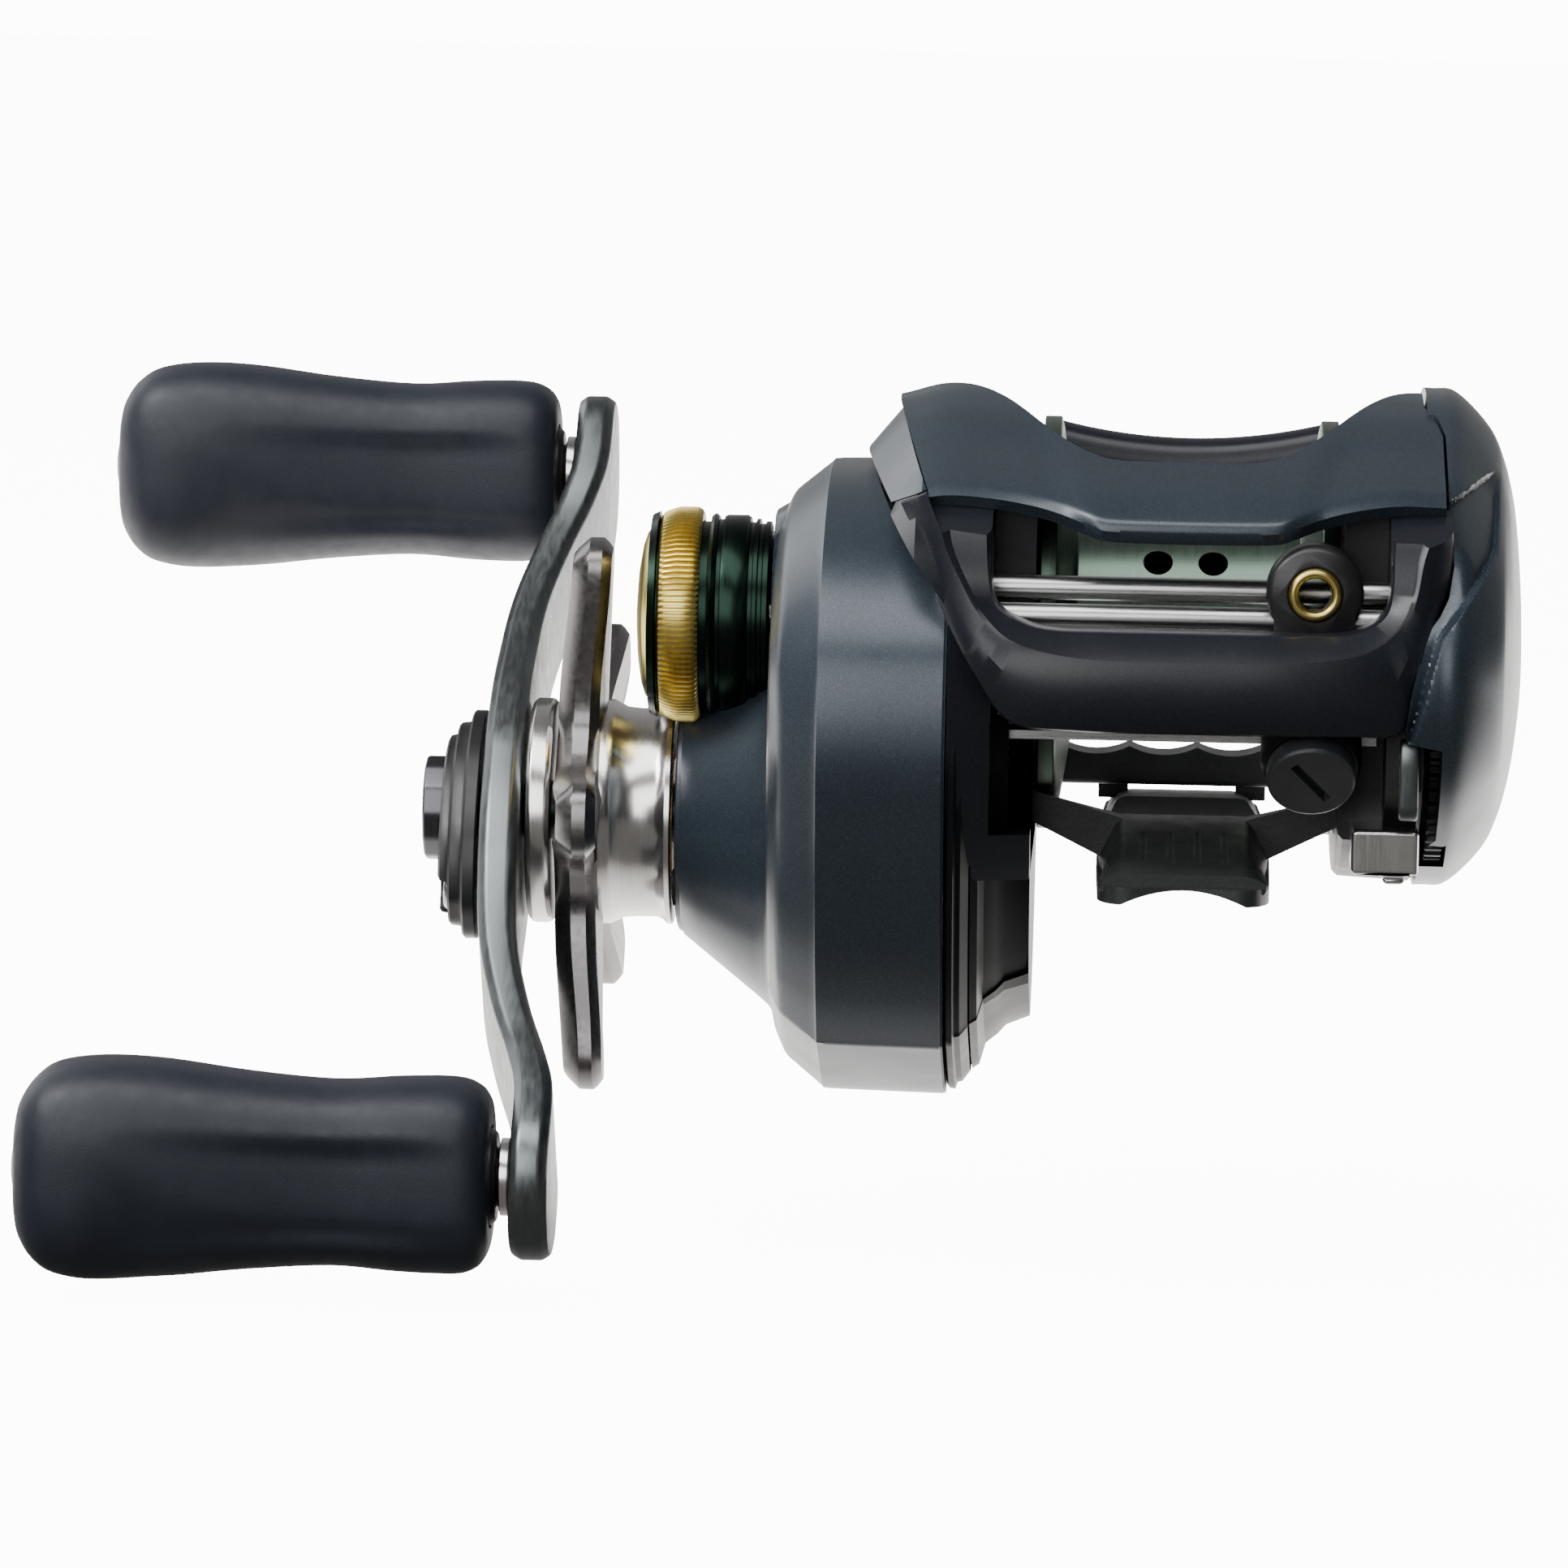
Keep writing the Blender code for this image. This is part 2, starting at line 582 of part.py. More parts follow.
def knob_mesh(centre):
    """A soft paddle: rounded-square sections that swell at the outer end and narrow at the waist."""
    stations = (
        (0.0, 5.2, 4.6), (0.6, 6.6, 5.6), (2.0, 7.7, 6.3), (6.0, 8.0, 6.5), (13.0, 7.7, 6.3),
        (20.0, 8.2, 6.6),
        (27.0, 8.95, 7.1), (32.0, 9.1, 7.3), (35.5, 8.6, 7.0), (37.6, 7.3, 6.2), (38.7, 4.9, 4.4),
    )
    count = 16
    sections = []
    for distance, tall, deep in stations:
        section = []
        for i in range(count):
            angle = 2 * math.pi * (i + 0.5) / count
            c, s = math.cos(angle), math.sin(angle)
            y = deep * math.copysign(abs(c) ** 0.72, c)
            z = tall * math.copysign(abs(s) ** 0.72, s)
            section.append((KNOB_INNER - distance, centre[0] + y, centre[1] + z))
        sections.append(section)
    return loft(sections)


def handle_parts(looks):
    profile = [
        (-59.2, 0.0), (-59.1, 12.0), (-58.2, 20.0), (-56.6, 27.5), (-54.9, 33.0), (-54.2, 37.0),
        (-54.2, 48.2),
        (-51.0, 48.2), (-51.0, 37.5), (-51.8, 33.0), (-53.6, 27.0), (-55.0, 20.5), (-55.8, 12.0),
        (-55.8, 0.0),
    ]
    profile += [(x, -s) for x, s in reversed(profile[1:-1])]
    plan = [
        (0.0, 9.4), (7.0, 8.6), (14.0, 6.8), (30.0, 5.8), (36.0, 6.4), (42.0, 7.2), (46.0, 6.0), (48.0, 3.2),
    ]
    plan += [(s, -w) for s, w in reversed(plan)]
    plan += [(-s, -w) for s, w in plan[1:-1]]
    arm = add("handle_arm", on_handle(prism_z(profile, -12.0, 12.0)), looks["arm"], pivot_at(DRIVE, -59.2))
    keep(arm, on_handle(prism_x(plan, -62.0, -48.0)))
    cut(arm, disc(-65.0, -50.0, 2.8, DRIVE, 16))
    cover = add("handle_nut_cover", on_handle(prism_x([
        (-8.6, 0.0), (-7.0, 4.9), (-2.0, 7.6), (3.0, 7.8), (9.0, 6.0), (12.6, 2.6), (13.2, 0.0), (12.6, -2.6),
        (9.0, -6.0), (3.0, -7.8), (-2.0, -7.6), (-7.0, -4.9),
    ], -62.8, -59.5)), looks["black"], pivot_at(DRIVE, -62.8))
    cut(cover, disc(-65.0, -55.0, 4.8, DRIVE, 24))
    screw_spot = along(DRIVE, HANDLE_LEAN, 9.8)
    cut(cover, disc(-65.0, -61.0, 1.9, screw_spot, 14), disc(-62.0, -59.0, 1.0, screw_spot, 10))
    add("nut_cover_screw", turned([
        (-62.2, 0.0), (-62.2, 1.6), (-61.3, 1.6), (-61.3, 0.7), (-59.6, 0.7), (-59.6, 0.0),
    ], screw_spot, 10), looks["steel"], pivot_at(screw_spot, -62.2))
    shank = prism_x(circle(DRIVE, 4.5, 18), -64.6, -59.5)
    nut = add("handle_nut", shank, looks["steel"], pivot_at(DRIVE, -64.6))
    cut(nut, disc(-66.0, -58.0, 2.5, DRIVE, 16))
    add("handle_spacer", ring(-55.5, -53.4, 9.6, 2.8, DRIVE, 24), looks["chrome"], pivot_at(DRIVE, -55.5))
    for name, side in (("lower", 1), ("upper", -1)):
        centre = knob_centre(side)
        add(f"knob_shaft_{name}", turned([
            (-54.5, 0.0), (-54.5, 2.8), (-55.3, 2.8), (-55.3, 1.9), (-90.0, 1.9), (-90.0, 0.0),
        ], centre, 16), looks["steel"], pivot_at(centre, -54.5))
        bush = ring(-57.4, -55.6, 4.0, 2.2, centre, 16)
        add(f"knob_bush_{name}", bush, looks["black"], pivot_at(centre, -57.4))
        knob = add(f"knob_{name}", knob_mesh(centre), looks["knob"], pivot_at(centre, KNOB_INNER))
        cut(
            knob,
            disc(-92.0, -50.0, 2.2, centre, 16),
            disc(-57.7, -50.0, 4.3, centre, 16),
            disc(-100.0, -89.7, 4.0, centre, 16),
        )
        add(f"knob_cap_{name}", turned([
            (-95.4, 0.0), (-95.2, 2.0), (-94.4, 3.7), (-92.8, 3.7), (-92.8, 0.0),
        ], centre, 16), looks["black"], pivot_at(centre, -95.4))


def star_parts(looks):
    """Five-armed drag star with its sleeve and the nut inside."""
    outline = []
    for arm in range(5):
        middle = math.radians(102.7 + 72 * arm)
        for turn, reach in ((-34, 9.6), (-24, 10.2), (-15, 13.5), (-9.5, 19.0), (-6.5, 23.2), (-3.0, 24.2),
                            (3.0, 24.2), (6.5, 23.2), (9.5, 19.0), (15, 13.5), (24, 10.2)):
            outline.append(along(DRIVE, middle + math.radians(turn), reach))
    star = add("star_drag", prism_x(outline, -53.0, -49.8), looks["gun_metal"], pivot_at(DRIVE, -53.0))
    cut(star, disc(-55.0, -45.0, 2.8, DRIVE, 16))
    add("star_sleeve", turned([
        (-49.5, 9.6), (-48.4, 9.6), (-46.6, 8.9), (-44.6, 8.9), (-43.2, 9.5), (-43.2, 8.2), (-49.5, 8.2),
    ], DRIVE, 28), looks["chrome"], pivot_at(DRIVE, -49.5))
    hexagon = prism_x(circle(DRIVE, 5.4, 6), -49.4, -43.3)
    nut = add("star_nut", hexagon, looks["brass"], pivot_at(DRIVE, -49.4))
    cut(nut, disc(-55.0, -40.0, 2.8, DRIVE, 16))


# ---------------------------------------------------------------- Spool and cast control

def spool_parts(looks):
    spool = add("spool", turned([
        (-SPOOL_HALF, 16.9), (-SPOOL_HALF, SPOOL_RIM_RADIUS), (-10.8, SPOOL_RIM_RADIUS),
        (-9.4, 8.6), (9.4, 8.6),
        (10.8, SPOOL_RIM_RADIUS), (SPOOL_HALF, SPOOL_RIM_RADIUS), (SPOOL_HALF, 16.9), (10.6, 7.6), (1.0, 7.6),
        (1.0, 1.8), (-1.0, 1.8), (-1.0, 7.6), (-10.6, 7.6),
    ], SPOOL, 26), looks["spool"], pivot_at(SPOOL))
    cut(spool, *[
        rod((x, 0, 0), (x, 20 * math.cos(a), 20 * math.sin(a)), 1.25, 10)
        for a in (math.radians(137 + 120 * k) for k in range(3)) for x in (-2.6, 2.0)
    ])
    shaft = add("spool_shaft", turned([
        (-41.3, 0.0), (-41.3, 1.5), (19.6, 1.5), (19.6, 0.0),
    ], SPOOL, 16), looks["steel"], pivot_at(SPOOL, -41.3))
    join(shaft, rod((-17.85, -2.9, 0.0), (-17.85, 2.9, 0.0), 0.55, 8))
    bearing = ring(-39.8, -37.4, 4.6, 1.8, SPOOL, 16)
    add("spool_bearing_handle", bearing, looks["steel"], pivot_at(SPOOL, -39.8))
    add("pinion_bearing", ring(-33.6, -31.0, 4.6, 2.5, SPOOL, 16), looks["steel"], pivot_at(SPOOL, -33.6))
    add("spool_bearing_palm", ring(15.9, 18.4, 4.9, 1.8, SPOOL, 16), looks["steel"], pivot_at(SPOOL, 15.9))


def tension_parts(looks):
    """Cast control: a cup that screws over the spigot, with its grip ring, band and cap."""
    add("tension_knob", turned([
        (-45.2, 0.0), (-45.2, 8.4), (-44.6, 8.6), (-44.6, 7.9), (-40.2, 7.9), (-40.2, 8.5), (-37.0, 8.5),
        (-36.6, 7.9), (-35.0, 7.9), (-35.0, 6.9), (-43.4, 6.9), (-43.4, 0.0),
    ], SPOOL, 20), looks["black"], pivot_at(SPOOL, -45.2))
    add("tension_grip_ring", turned([
        (-44.3, 8.4), (-43.2, 8.7), (-42.5, 9.1), (-40.5, 9.0), (-40.5, 8.2), (-44.3, 8.2),
    ], SPOOL, 28), looks["gold"], pivot_at(SPOOL, -44.3))
    add("tension_cap", turned([
        (-46.3, 0.0), (-46.2, 4.0), (-45.9, 6.4), (-45.5, 7.2), (-45.5, 0.0),
    ], SPOOL, 28), looks["gold"], pivot_at(SPOOL, -46.3))


# ---------------------------------------------------------------- Levelwind

def levelwind_parts(looks):
    driver_turn = 0.0
    idler = wind_idler_centre()
    idler_turn = meshing_turns(DRIVE, WIND_DRIVER_TEETH, driver_turn, idler, WIND_IDLER_TEETH)
    cog_turn = meshing_turns(idler, WIND_IDLER_TEETH, idler_turn, WORM, WIND_COG_TEETH)
    gear("levelwind_driver_gear", DRIVE, WIND_DRIVER_TEETH, driver_turn, -20.0, -18.9, 2.8, looks["fibre"])
    gear("levelwind_idler_gear", idler, WIND_IDLER_TEETH, idler_turn, -20.0, -18.9, 1.2, looks["fibre"])
    gear("worm_cog", WORM, WIND_COG_TEETH, cog_turn, -20.0, -18.9, 1.4, looks["fibre"])
    add("worm_shaft", turned([
        (-20.8, 0.0), (-20.8, 1.1), (-15.2, 1.1), (-15.2, 2.0), (15.2, 2.0), (15.2, 1.1),
        (17.6, 1.1), (17.6, 0.0),
    ], WORM, 20), looks["steel"], pivot_at(WORM, -20.8))
    opening = math.radians(54)
    angles = [PAWL_SLOPE + opening + (2 * math.pi - 2 * opening) * i / 16 for i in range(17)]
    guard = [along(WORM, a, 3.2) for a in angles] + [along(WORM, a, 2.5) for a in reversed(angles)]
    add("worm_guard", prism_x(guard, -15.5, 15.5), looks["steel"], pivot_at(WORM))
    add("guide_rod", disc(-16.8, 16.8, 1.0, GUIDE_ROD, 14), looks["steel"], pivot_at(GUIDE_ROD))
    add("cross_rod", disc(-16.8, 16.8, 1.0, CROSS_ROD, 14), looks["steel"], pivot_at(CROSS_ROD))
    line_guide_parts(looks)


def on_pawl(distance):
    y, z = along(WORM, PAWL_SLOPE, distance)
    return (GUIDE_X, y, z)


def line_guide_parts(looks):
    """Carriage with its eyelet, and the pawl under a slotted cap."""
    side = 3.3
    housing = prism_y(circle((GUIDE_X, EYELET_HEIGHT), 3.9, 20), -27.0, -22.9)
    guide = add("line_guide", housing, looks["black"], (GUIDE_X, *WORM))
    join(
        guide,
        block((GUIDE_X - side, -27.0, -4.4), (GUIDE_X + side, -22.9, EYELET_HEIGHT)),
        disc(GUIDE_X - side, GUIDE_X + side, 4.3, WORM, 20),
        rod(on_pawl(1.0), on_pawl(7.4), 3.9, 20),
    )
    cut(
        guide,
        disc(-30.0, 30.0, 3.5, WORM, 20),
        disc(-30.0, 30.0, 1.3, GUIDE_ROD, 14),
        rod(on_pawl(0.0), on_pawl(12.0), 2.0, 16),
        rod((GUIDE_X, -40.0, EYELET_HEIGHT), (GUIDE_X, -15.0, EYELET_HEIGHT), 1.3, 16),
        rod((GUIDE_X, -40.0, EYELET_HEIGHT), (GUIDE_X, -26.0, EYELET_HEIGHT), 2.4, 20),
        disc(-30.0, 30.0, SPOOL_RIM_RADIUS + 0.6, SPOOL, 48),
    )
    mouth = (GUIDE_X, -27.4, EYELET_HEIGHT)
    eyelet = add("line_eyelet", rod(mouth, (GUIDE_X, -26.3, EYELET_HEIGHT), 2.1, 24), looks["gold"], mouth)
    cut(eyelet, rod((GUIDE_X, -30.0, EYELET_HEIGHT), (GUIDE_X, -20.0, EYELET_HEIGHT), 1.35, 24))
    add("pawl", rod(on_pawl(2.4), on_pawl(7.3), 1.7, 14), looks["brass"], (GUIDE_X, *WORM))
    cap = add("pawl_cap", rod(on_pawl(7.7), on_pawl(9.3), 3.6, 20), looks["charcoal"], on_pawl(7.7))
    across = Vector((0.62, math.sin(PAWL_SLOPE) * -0.78, math.cos(PAWL_SLOPE) * 0.78))
    middle = Vector(on_pawl(9.3))
    cut(cap, rod(middle - across * 2.7, middle + across * 2.7, 0.5, 8))


# ---------------------------------------------------------------- Palm side and thumb bar

def palm_side_parts(looks):
    add("brake_case", turned([
        (14.2, 17.5), (18.8, 17.5), (18.8, 16.2), (15.5, 16.2), (15.5, 6.2), (18.8, 6.2),
        (18.8, 5.2), (15.5, 5.2),
        (15.5, 1.9), (14.2, 1.9),
    ], SPOOL, 30), looks["charcoal"], pivot_at(SPOOL, 14.2))
    add("brake_magnet_ring", ring(16.0, 17.6, 15.6, 9.0, SPOOL, 28), looks["steel"], pivot_at(SPOOL, 16.0))
    teeth = 36
    outline = []
    for tooth in range(teeth):
        angle = 2 * math.pi * tooth / teeth
        outline += [along(BRAKE, angle, 9.2), along(BRAKE, angle + math.pi / teeth, 8.8)]
    dial = add("brake_dial", prism_x(outline, 19.8, 21.2), looks["black"], pivot_at(BRAKE, 19.8))
    cut(dial, disc(10.0, 30.0, 1.5, BRAKE, 14))
    add("palm_lock_lever", prism_x([
        (-28.6, -6.4), (-29.0, -8.0), (-28.8, -14.2), (-27.9, -15.0), (-27.2, -14.2),
        (-26.4, -8.6), (-26.4, -6.6),
    ], 17.2, 18.8), looks["charcoal"], pivot_at(LOCK_PIVOT, 18.0))
    cut(bpy.data.objects["palm_lock_lever"], disc(10.0, 30.0, 0.8, LOCK_PIVOT, 10))


def thumb_bar_parts(looks):
    """The clutch bar behind the spool, with a dished top."""
    side = [(18.8, 12.2), (20.2, 13.0), (24.4, 12.6), (26.2, 10.6), (26.0, 8.6), (24.0, 8.0), (19.6, 8.8)]
    sections = []
    for step in range(9):
        x = -12.0 + 24.0 * step / 8
        lift = 2.0 * (x / 11.4) ** 2
        sections.append([(x, y, z + (lift if z > 10 else 0.0)) for y, z in side])
    add("thumb_bar", loft(sections), looks["gloss_black"], (0.0, 22.0, 10.0))


# ---------------------------------------------------------------- Scene

def make_looks():
    return {
        "body": material("satin_blue_grey", (0.045, 0.060, 0.070), 0.6, 0.42),
        "frame": material("charcoal_frame", (0.050, 0.052, 0.060), 0.5, 0.38),
        "charcoal": material("charcoal_plastic", (0.07, 0.07, 0.075), 0.2, 0.45),
        "black": material("black_plastic", (0.015, 0.016, 0.018), 0.0, 0.4),
        "gloss_black": material("gloss_black", (0.010, 0.011, 0.013), 0.0, 0.15),
        "knob": material("soft_touch", (0.020, 0.025, 0.032), 0.0, 0.6),
        "steel": material("steel", (0.62, 0.62, 0.63), 1.0, 0.25),
        "dark_steel": material("dark_steel", (0.20, 0.20, 0.21), 1.0, 0.35),
        "gun_metal": material("gun_metal", (0.26, 0.25, 0.25), 1.0, 0.32),
        "chrome": material("chrome", (0.80, 0.79, 0.77), 1.0, 0.10),
        "arm": material("arm_anodised", (0.22, 0.26, 0.27), 0.9, 0.35),
        "brass": material("brass", (0.62, 0.45, 0.18), 1.0, 0.30),
        "gold": material("gold_anodised", (0.68, 0.54, 0.16), 1.0, 0.25),
        "green": material("green_black_anodised", (0.02, 0.06, 0.04), 0.8, 0.30),
        "spool": material("spool_aluminium", (0.55, 0.60, 0.57), 1.0, 0.25),
        "fibre": material("dark_polymer", (0.06, 0.06, 0.06), 0.0, 0.55),
    }


def clear_scene():
    for old in list(bpy.data.objects):
        bpy.data.objects.remove(old)


def main():
    clear_scene()
    looks = make_looks()
    for build in (
        frame_parts, hood_parts, gear_cover_parts, palm_cover_parts, drive_train_parts, clutch_parts,
        handle_parts, star_parts, spool_parts, tension_parts, levelwind_parts, palm_side_parts, thumb_bar_parts,
    ):
        build(looks)


main()
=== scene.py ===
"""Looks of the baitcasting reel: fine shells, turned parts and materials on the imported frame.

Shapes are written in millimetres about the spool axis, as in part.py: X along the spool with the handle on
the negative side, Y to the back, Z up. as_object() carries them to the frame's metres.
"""

import json
import math

import bmesh
import bpy
import numpy as np
from mathutils import Matrix, Vector

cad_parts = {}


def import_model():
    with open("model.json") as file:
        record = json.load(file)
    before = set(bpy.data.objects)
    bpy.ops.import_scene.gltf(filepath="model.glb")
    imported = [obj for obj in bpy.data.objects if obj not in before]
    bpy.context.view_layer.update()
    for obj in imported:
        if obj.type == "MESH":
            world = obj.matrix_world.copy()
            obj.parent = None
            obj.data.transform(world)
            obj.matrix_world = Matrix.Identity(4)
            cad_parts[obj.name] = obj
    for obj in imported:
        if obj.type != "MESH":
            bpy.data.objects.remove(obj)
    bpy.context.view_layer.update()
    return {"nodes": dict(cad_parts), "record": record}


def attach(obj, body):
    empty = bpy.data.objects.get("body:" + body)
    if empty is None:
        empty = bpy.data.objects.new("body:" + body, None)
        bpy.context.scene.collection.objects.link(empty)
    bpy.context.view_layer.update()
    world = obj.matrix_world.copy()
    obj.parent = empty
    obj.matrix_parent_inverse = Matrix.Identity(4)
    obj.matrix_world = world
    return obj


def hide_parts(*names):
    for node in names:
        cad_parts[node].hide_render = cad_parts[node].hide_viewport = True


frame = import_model()

MM = 0.001
SPOOL_HEIGHT = 20.0  # spool axis above the underside of the foot

# Places (Y, Z) of the shafts and rods that lie along X.
SPOOL = (0.0, 0.0)
DRIVE = (5.0, -17.6)
WORM = (-21.3, -4.2)
BRAKE = (-12.6, -8.6)
GUIDE_ROD = (-24.4, 3.1)
CROSS_ROD = (-21.6, 5.1)
LOCK_PIVOT = (-27.4, -7.4)
EYELET = (10.1, -27.4, 5.5)

HANDLE_LEAN = math.radians(218.8)
HANDLE_LENGTH = 41.7
PAWL_SLOPE = math.radians(215.7)

GEAR_SEAM, BOSS_FACE = -19.7, -42.8
COVER_SCREWS = ((-15.5, 0.6), (22.8, -2.0), (5.0, -37.2))
CHIN = (-16.4, -34.0)  # corner of the gear cover's outline
PALM_START, PALM_SEAM, PALM_FACE = 16.9, 19.4, 27.4

FAR = 60.0            # beyond the reel on every side, in cutters
RIM_ROOM = 17.7       # radius that clears the spool's rims
DRUM_ROOM = 17.9      # radius of the frame's opening between the side walls
FINE = 128            # points round the spool

# Side outlines (Y, Z), clockwise from the top as seen from the handle side.
GEAR_OUTLINE = [
    (-4.0, 13.3), (-13.0, 11.4), (-21.5, 7.0), (-27.0, 0.5), (-28.6, -7.5), (-26.4, -16.5),
    (-21.4, -24.6), (-15.0, -31.5), (-8.5, -37.0), (-0.5, -40.3), (8.0, -40.4), (16.0, -37.4),
    (22.6, -31.8), (27.0, -24.0), (28.8, -15.0), (27.8, -6.0), (24.0, 2.0), (17.0, 8.8), (7.0, 13.0),
]
SHOULDER_OUTLINE = [
    (-4.0, 20.2), (-12.0, 17.6), (-20.0, 13.6), (-26.5, 8.6), (-29.6, 1.0), (-29.4, -7.5), (-26.6, -16.5),
    (-21.4, -24.6), (-15.0, -31.5), (-8.5, -37.0), (-0.5, -40.3), (8.0, -40.4), (16.0, -37.4),
    (22.6, -31.8), (27.0, -24.0), (29.0, -14.0), (29.0, -2.0), (25.5, 8.0), (18.0, 15.3), (7.0, 19.6),
]
PALM_OUTLINE = [
    (-4.0, 20.2), (-12.0, 17.6), (-20.0, 13.6), (-26.5, 8.6), (-30.5, 2.5), (-31.0, -4.0), (-27.5, -10.0),
    (-20.5, -15.0), (-12.0, -19.0), (-3.0, -21.2), (6.0, -21.3), (15.0, -19.0), (22.5, -14.0),
    (27.5, -6.5), (28.0, 2.0), (24.5, 10.0), (17.0, 16.2), (7.0, 19.7),
]


# ---------------------------------------------------------------- Curves

def smooth(points, steps, closed=True):
    """Rows of points with a Catmull-Rom curve through them."""
    rows = np.asarray(points, float)
    count = len(rows)
    made = []
    for i in range(count if closed else count - 1):
        if closed:
            a, b, c, d = (rows[(i + k) % count] for k in (-1, 0, 1, 2))
        else:
            a, b, c, d = (rows[min(max(i + k, 0), count - 1)] for k in (-1, 0, 1, 2))
        for step in range(steps):
            t = step / steps
            made.append(0.5 * (2 * b + (c - a) * t + (2 * a - 5 * b + 4 * c - d) * t * t
                               + (3 * b - a - 3 * c + d) * t ** 3))
    if not closed:
        made.append(rows[-1])
    return np.array(made)


def soften(points, radius, closed=True, steps=4):
    """A polyline with its corners rounded to about this radius."""
    rows = [np.asarray(point, float) for point in points]
    count = len(rows)
    made = []
    for i, corner in enumerate(rows):
        if not closed and i in (0, count - 1):
            made.append(corner)
            continue
        back, ahead = rows[i - 1] - corner, rows[(i + 1) % count] - corner
        far_back, far_ahead = np.linalg.norm(back), np.linalg.norm(ahead)
        start = corner + back / far_back * min(radius, 0.45 * far_back)
        end = corner + ahead / far_ahead * min(radius, 0.45 * far_ahead)
        for step in range(steps + 1):
            t = step / steps
            made.append((1 - t) ** 2 * start + 2 * t * (1 - t) * corner + t * t * end)
    return np.array(made)


def normals_in(loop):
    """Unit normals of a closed (n, 2) loop that point inwards."""
    ahead = np.roll(loop, -1, axis=0) - np.roll(loop, 1, axis=0)
    ahead /= np.linalg.norm(ahead, axis=1)[:, None]
    area = np.sum(loop[:, 0] * np.roll(loop[:, 1], -1) - np.roll(loop[:, 0], -1) * loop[:, 1])
    side = 1.0 if area > 0 else -1.0
    return side * np.stack([-ahead[:, 1], ahead[:, 0]], axis=1)


def inset(loop, depth):
    loop = np.asarray(loop, float)
    return loop + normals_in(loop) * depth


def circle(centre, radius, count):
    angles = np.arange(count) * 2 * math.pi / count
    return np.stack([centre[0] + radius * np.cos(angles), centre[1] + radius * np.sin(angles)], axis=1)


def along(start, angle, distance):
    return (start[0] + distance * math.cos(angle), start[1] + distance * math.sin(angle))


def ease(value, low, high):
    """0 below low, 1 above high and a smooth step between."""
    t = np.clip((value - low) / (high - low), 0.0, 1.0)
    return t * t * (3 - 2 * t)


def interpolate(value, pairs):
    """Piecewise-linear lookup in (value, result) pairs, given in rising order of value."""
    return np.interp(value, [pair[0] for pair in pairs], [pair[1] for pair in pairs])


# ---------------------------------------------------------------- Meshes

def loft(sections, ring=False):
    """Faces through loops of equal length: a tube with caps, or a ring whose last loop joins the first."""
    mesh = bmesh.new()
    loops = [[mesh.verts.new(point) for point in section] for section in sections]
    pairs = list(zip(loops, loops[1:] + (loops[:1] if ring else [])))
    for first, second in pairs:
        for i in range(len(first)):
            j = (i + 1) % len(first)
            mesh.faces.new((first[i], first[j], second[j], second[i]))
    if not ring:
        mesh.faces.new(loops[0])
        mesh.faces.new(loops[-1])
    bmesh.ops.recalc_face_normals(mesh, faces=mesh.faces)
    return mesh


def with_x(loop, x):
    """A (Y, Z) loop at this X, which may be one value or one for each point."""
    return np.column_stack([np.broadcast_to(x, len(loop)), loop])


def stepped(outline, steps):
    """A (Y, Z) outline through (X, inset) pairs."""
    return loft([with_x(inset(outline, depth), x) for x, depth in steps])


def prism_x(outline, start, end, round_edge=0.0):
    """A (Y, Z) outline carried along X, with its two rims rounded."""
    outline = np.asarray(outline, float)
    if not round_edge:
        return loft([with_x(outline, start), with_x(outline, end)])
    way = math.copysign(round_edge, end - start)
    turns = np.linspace(0, math.pi / 2, 4)
    rise = [(way * (1 - math.cos(turn)), round_edge * (1 - math.sin(turn))) for turn in turns]
    return stepped(outline, [(start + x, d) for x, d in rise] + [(end - x, d) for x, d in rise[::-1]])


def prism_y(outline, start, end):
    """An (X, Z) outline carried along Y."""
    return loft([[(x, y, z) for x, z in outline] for y in (start, end)])


def prism_z(outline, start, end):
    """An (X, Y) outline carried along Z."""
    return loft([[(x, y, z) for x, y in outline] for z in (start, end)])


def block(low, high):
    plan = [(low[0], low[1]), (high[0], low[1]), (high[0], high[1]), (low[0], high[1])]
    return prism_z(plan, low[2], high[2])


def turned(profile, centre=SPOOL, count=72, radius=0.0):
    """An (X, radius) profile turned about the line along X through centre, its corners softened by radius."""
    profile = np.asarray(profile, float)
    on_axis = profile[0][1] == 0.0
    if radius:
        profile = soften(profile, radius, closed=not on_axis)
    mesh = bmesh.new()
    y, z = centre
    points = [mesh.verts.new((x, y, z + r)) for x, r in profile]
    pairs = list(zip(points, points[1:]))
    if not on_axis:
        pairs.append((points[-1], points[0]))
    edges = [mesh.edges.new(pair) for pair in pairs]
    bmesh.ops.spin(
        mesh, geom=points + edges, cent=(0.0, y, z), axis=(1.0, 0.0, 0.0), angle=2 * math.pi, steps=count,
        use_duplicate=False,
    )
    bmesh.ops.remove_doubles(mesh, verts=mesh.verts, dist=1e-4)
    bmesh.ops.recalc_face_normals(mesh, faces=mesh.faces)
    return mesh


def disc(start, end, radius, centre=SPOOL, count=48):
    return turned([(start, 0.0), (start, radius), (end, radius), (end, 0.0)], centre, count)


def rod(start, end, radius, count=32, profile=((0.0, 1.0), (1.0, 1.0))):
    """A round bar between two points. The profile's pairs are (share of the length, share of the radius)."""
    start, end = Vector(start), Vector(end)
    direction = (end - start).normalized()
    helper = Vector((1, 0, 0)) if abs(direction.x) < 0.9 else Vector((0, 1, 0))
    side = direction.cross(helper).normalized()
    other = direction.cross(side)
    return loft([
        [start + (end - start) * share + (side * a + other * b) * radius * wide
         for a, b in circle((0.0, 0.0), 1.0, count)]
        for share, wide in profile
    ])


# ---------------------------------------------------------------- Pieces

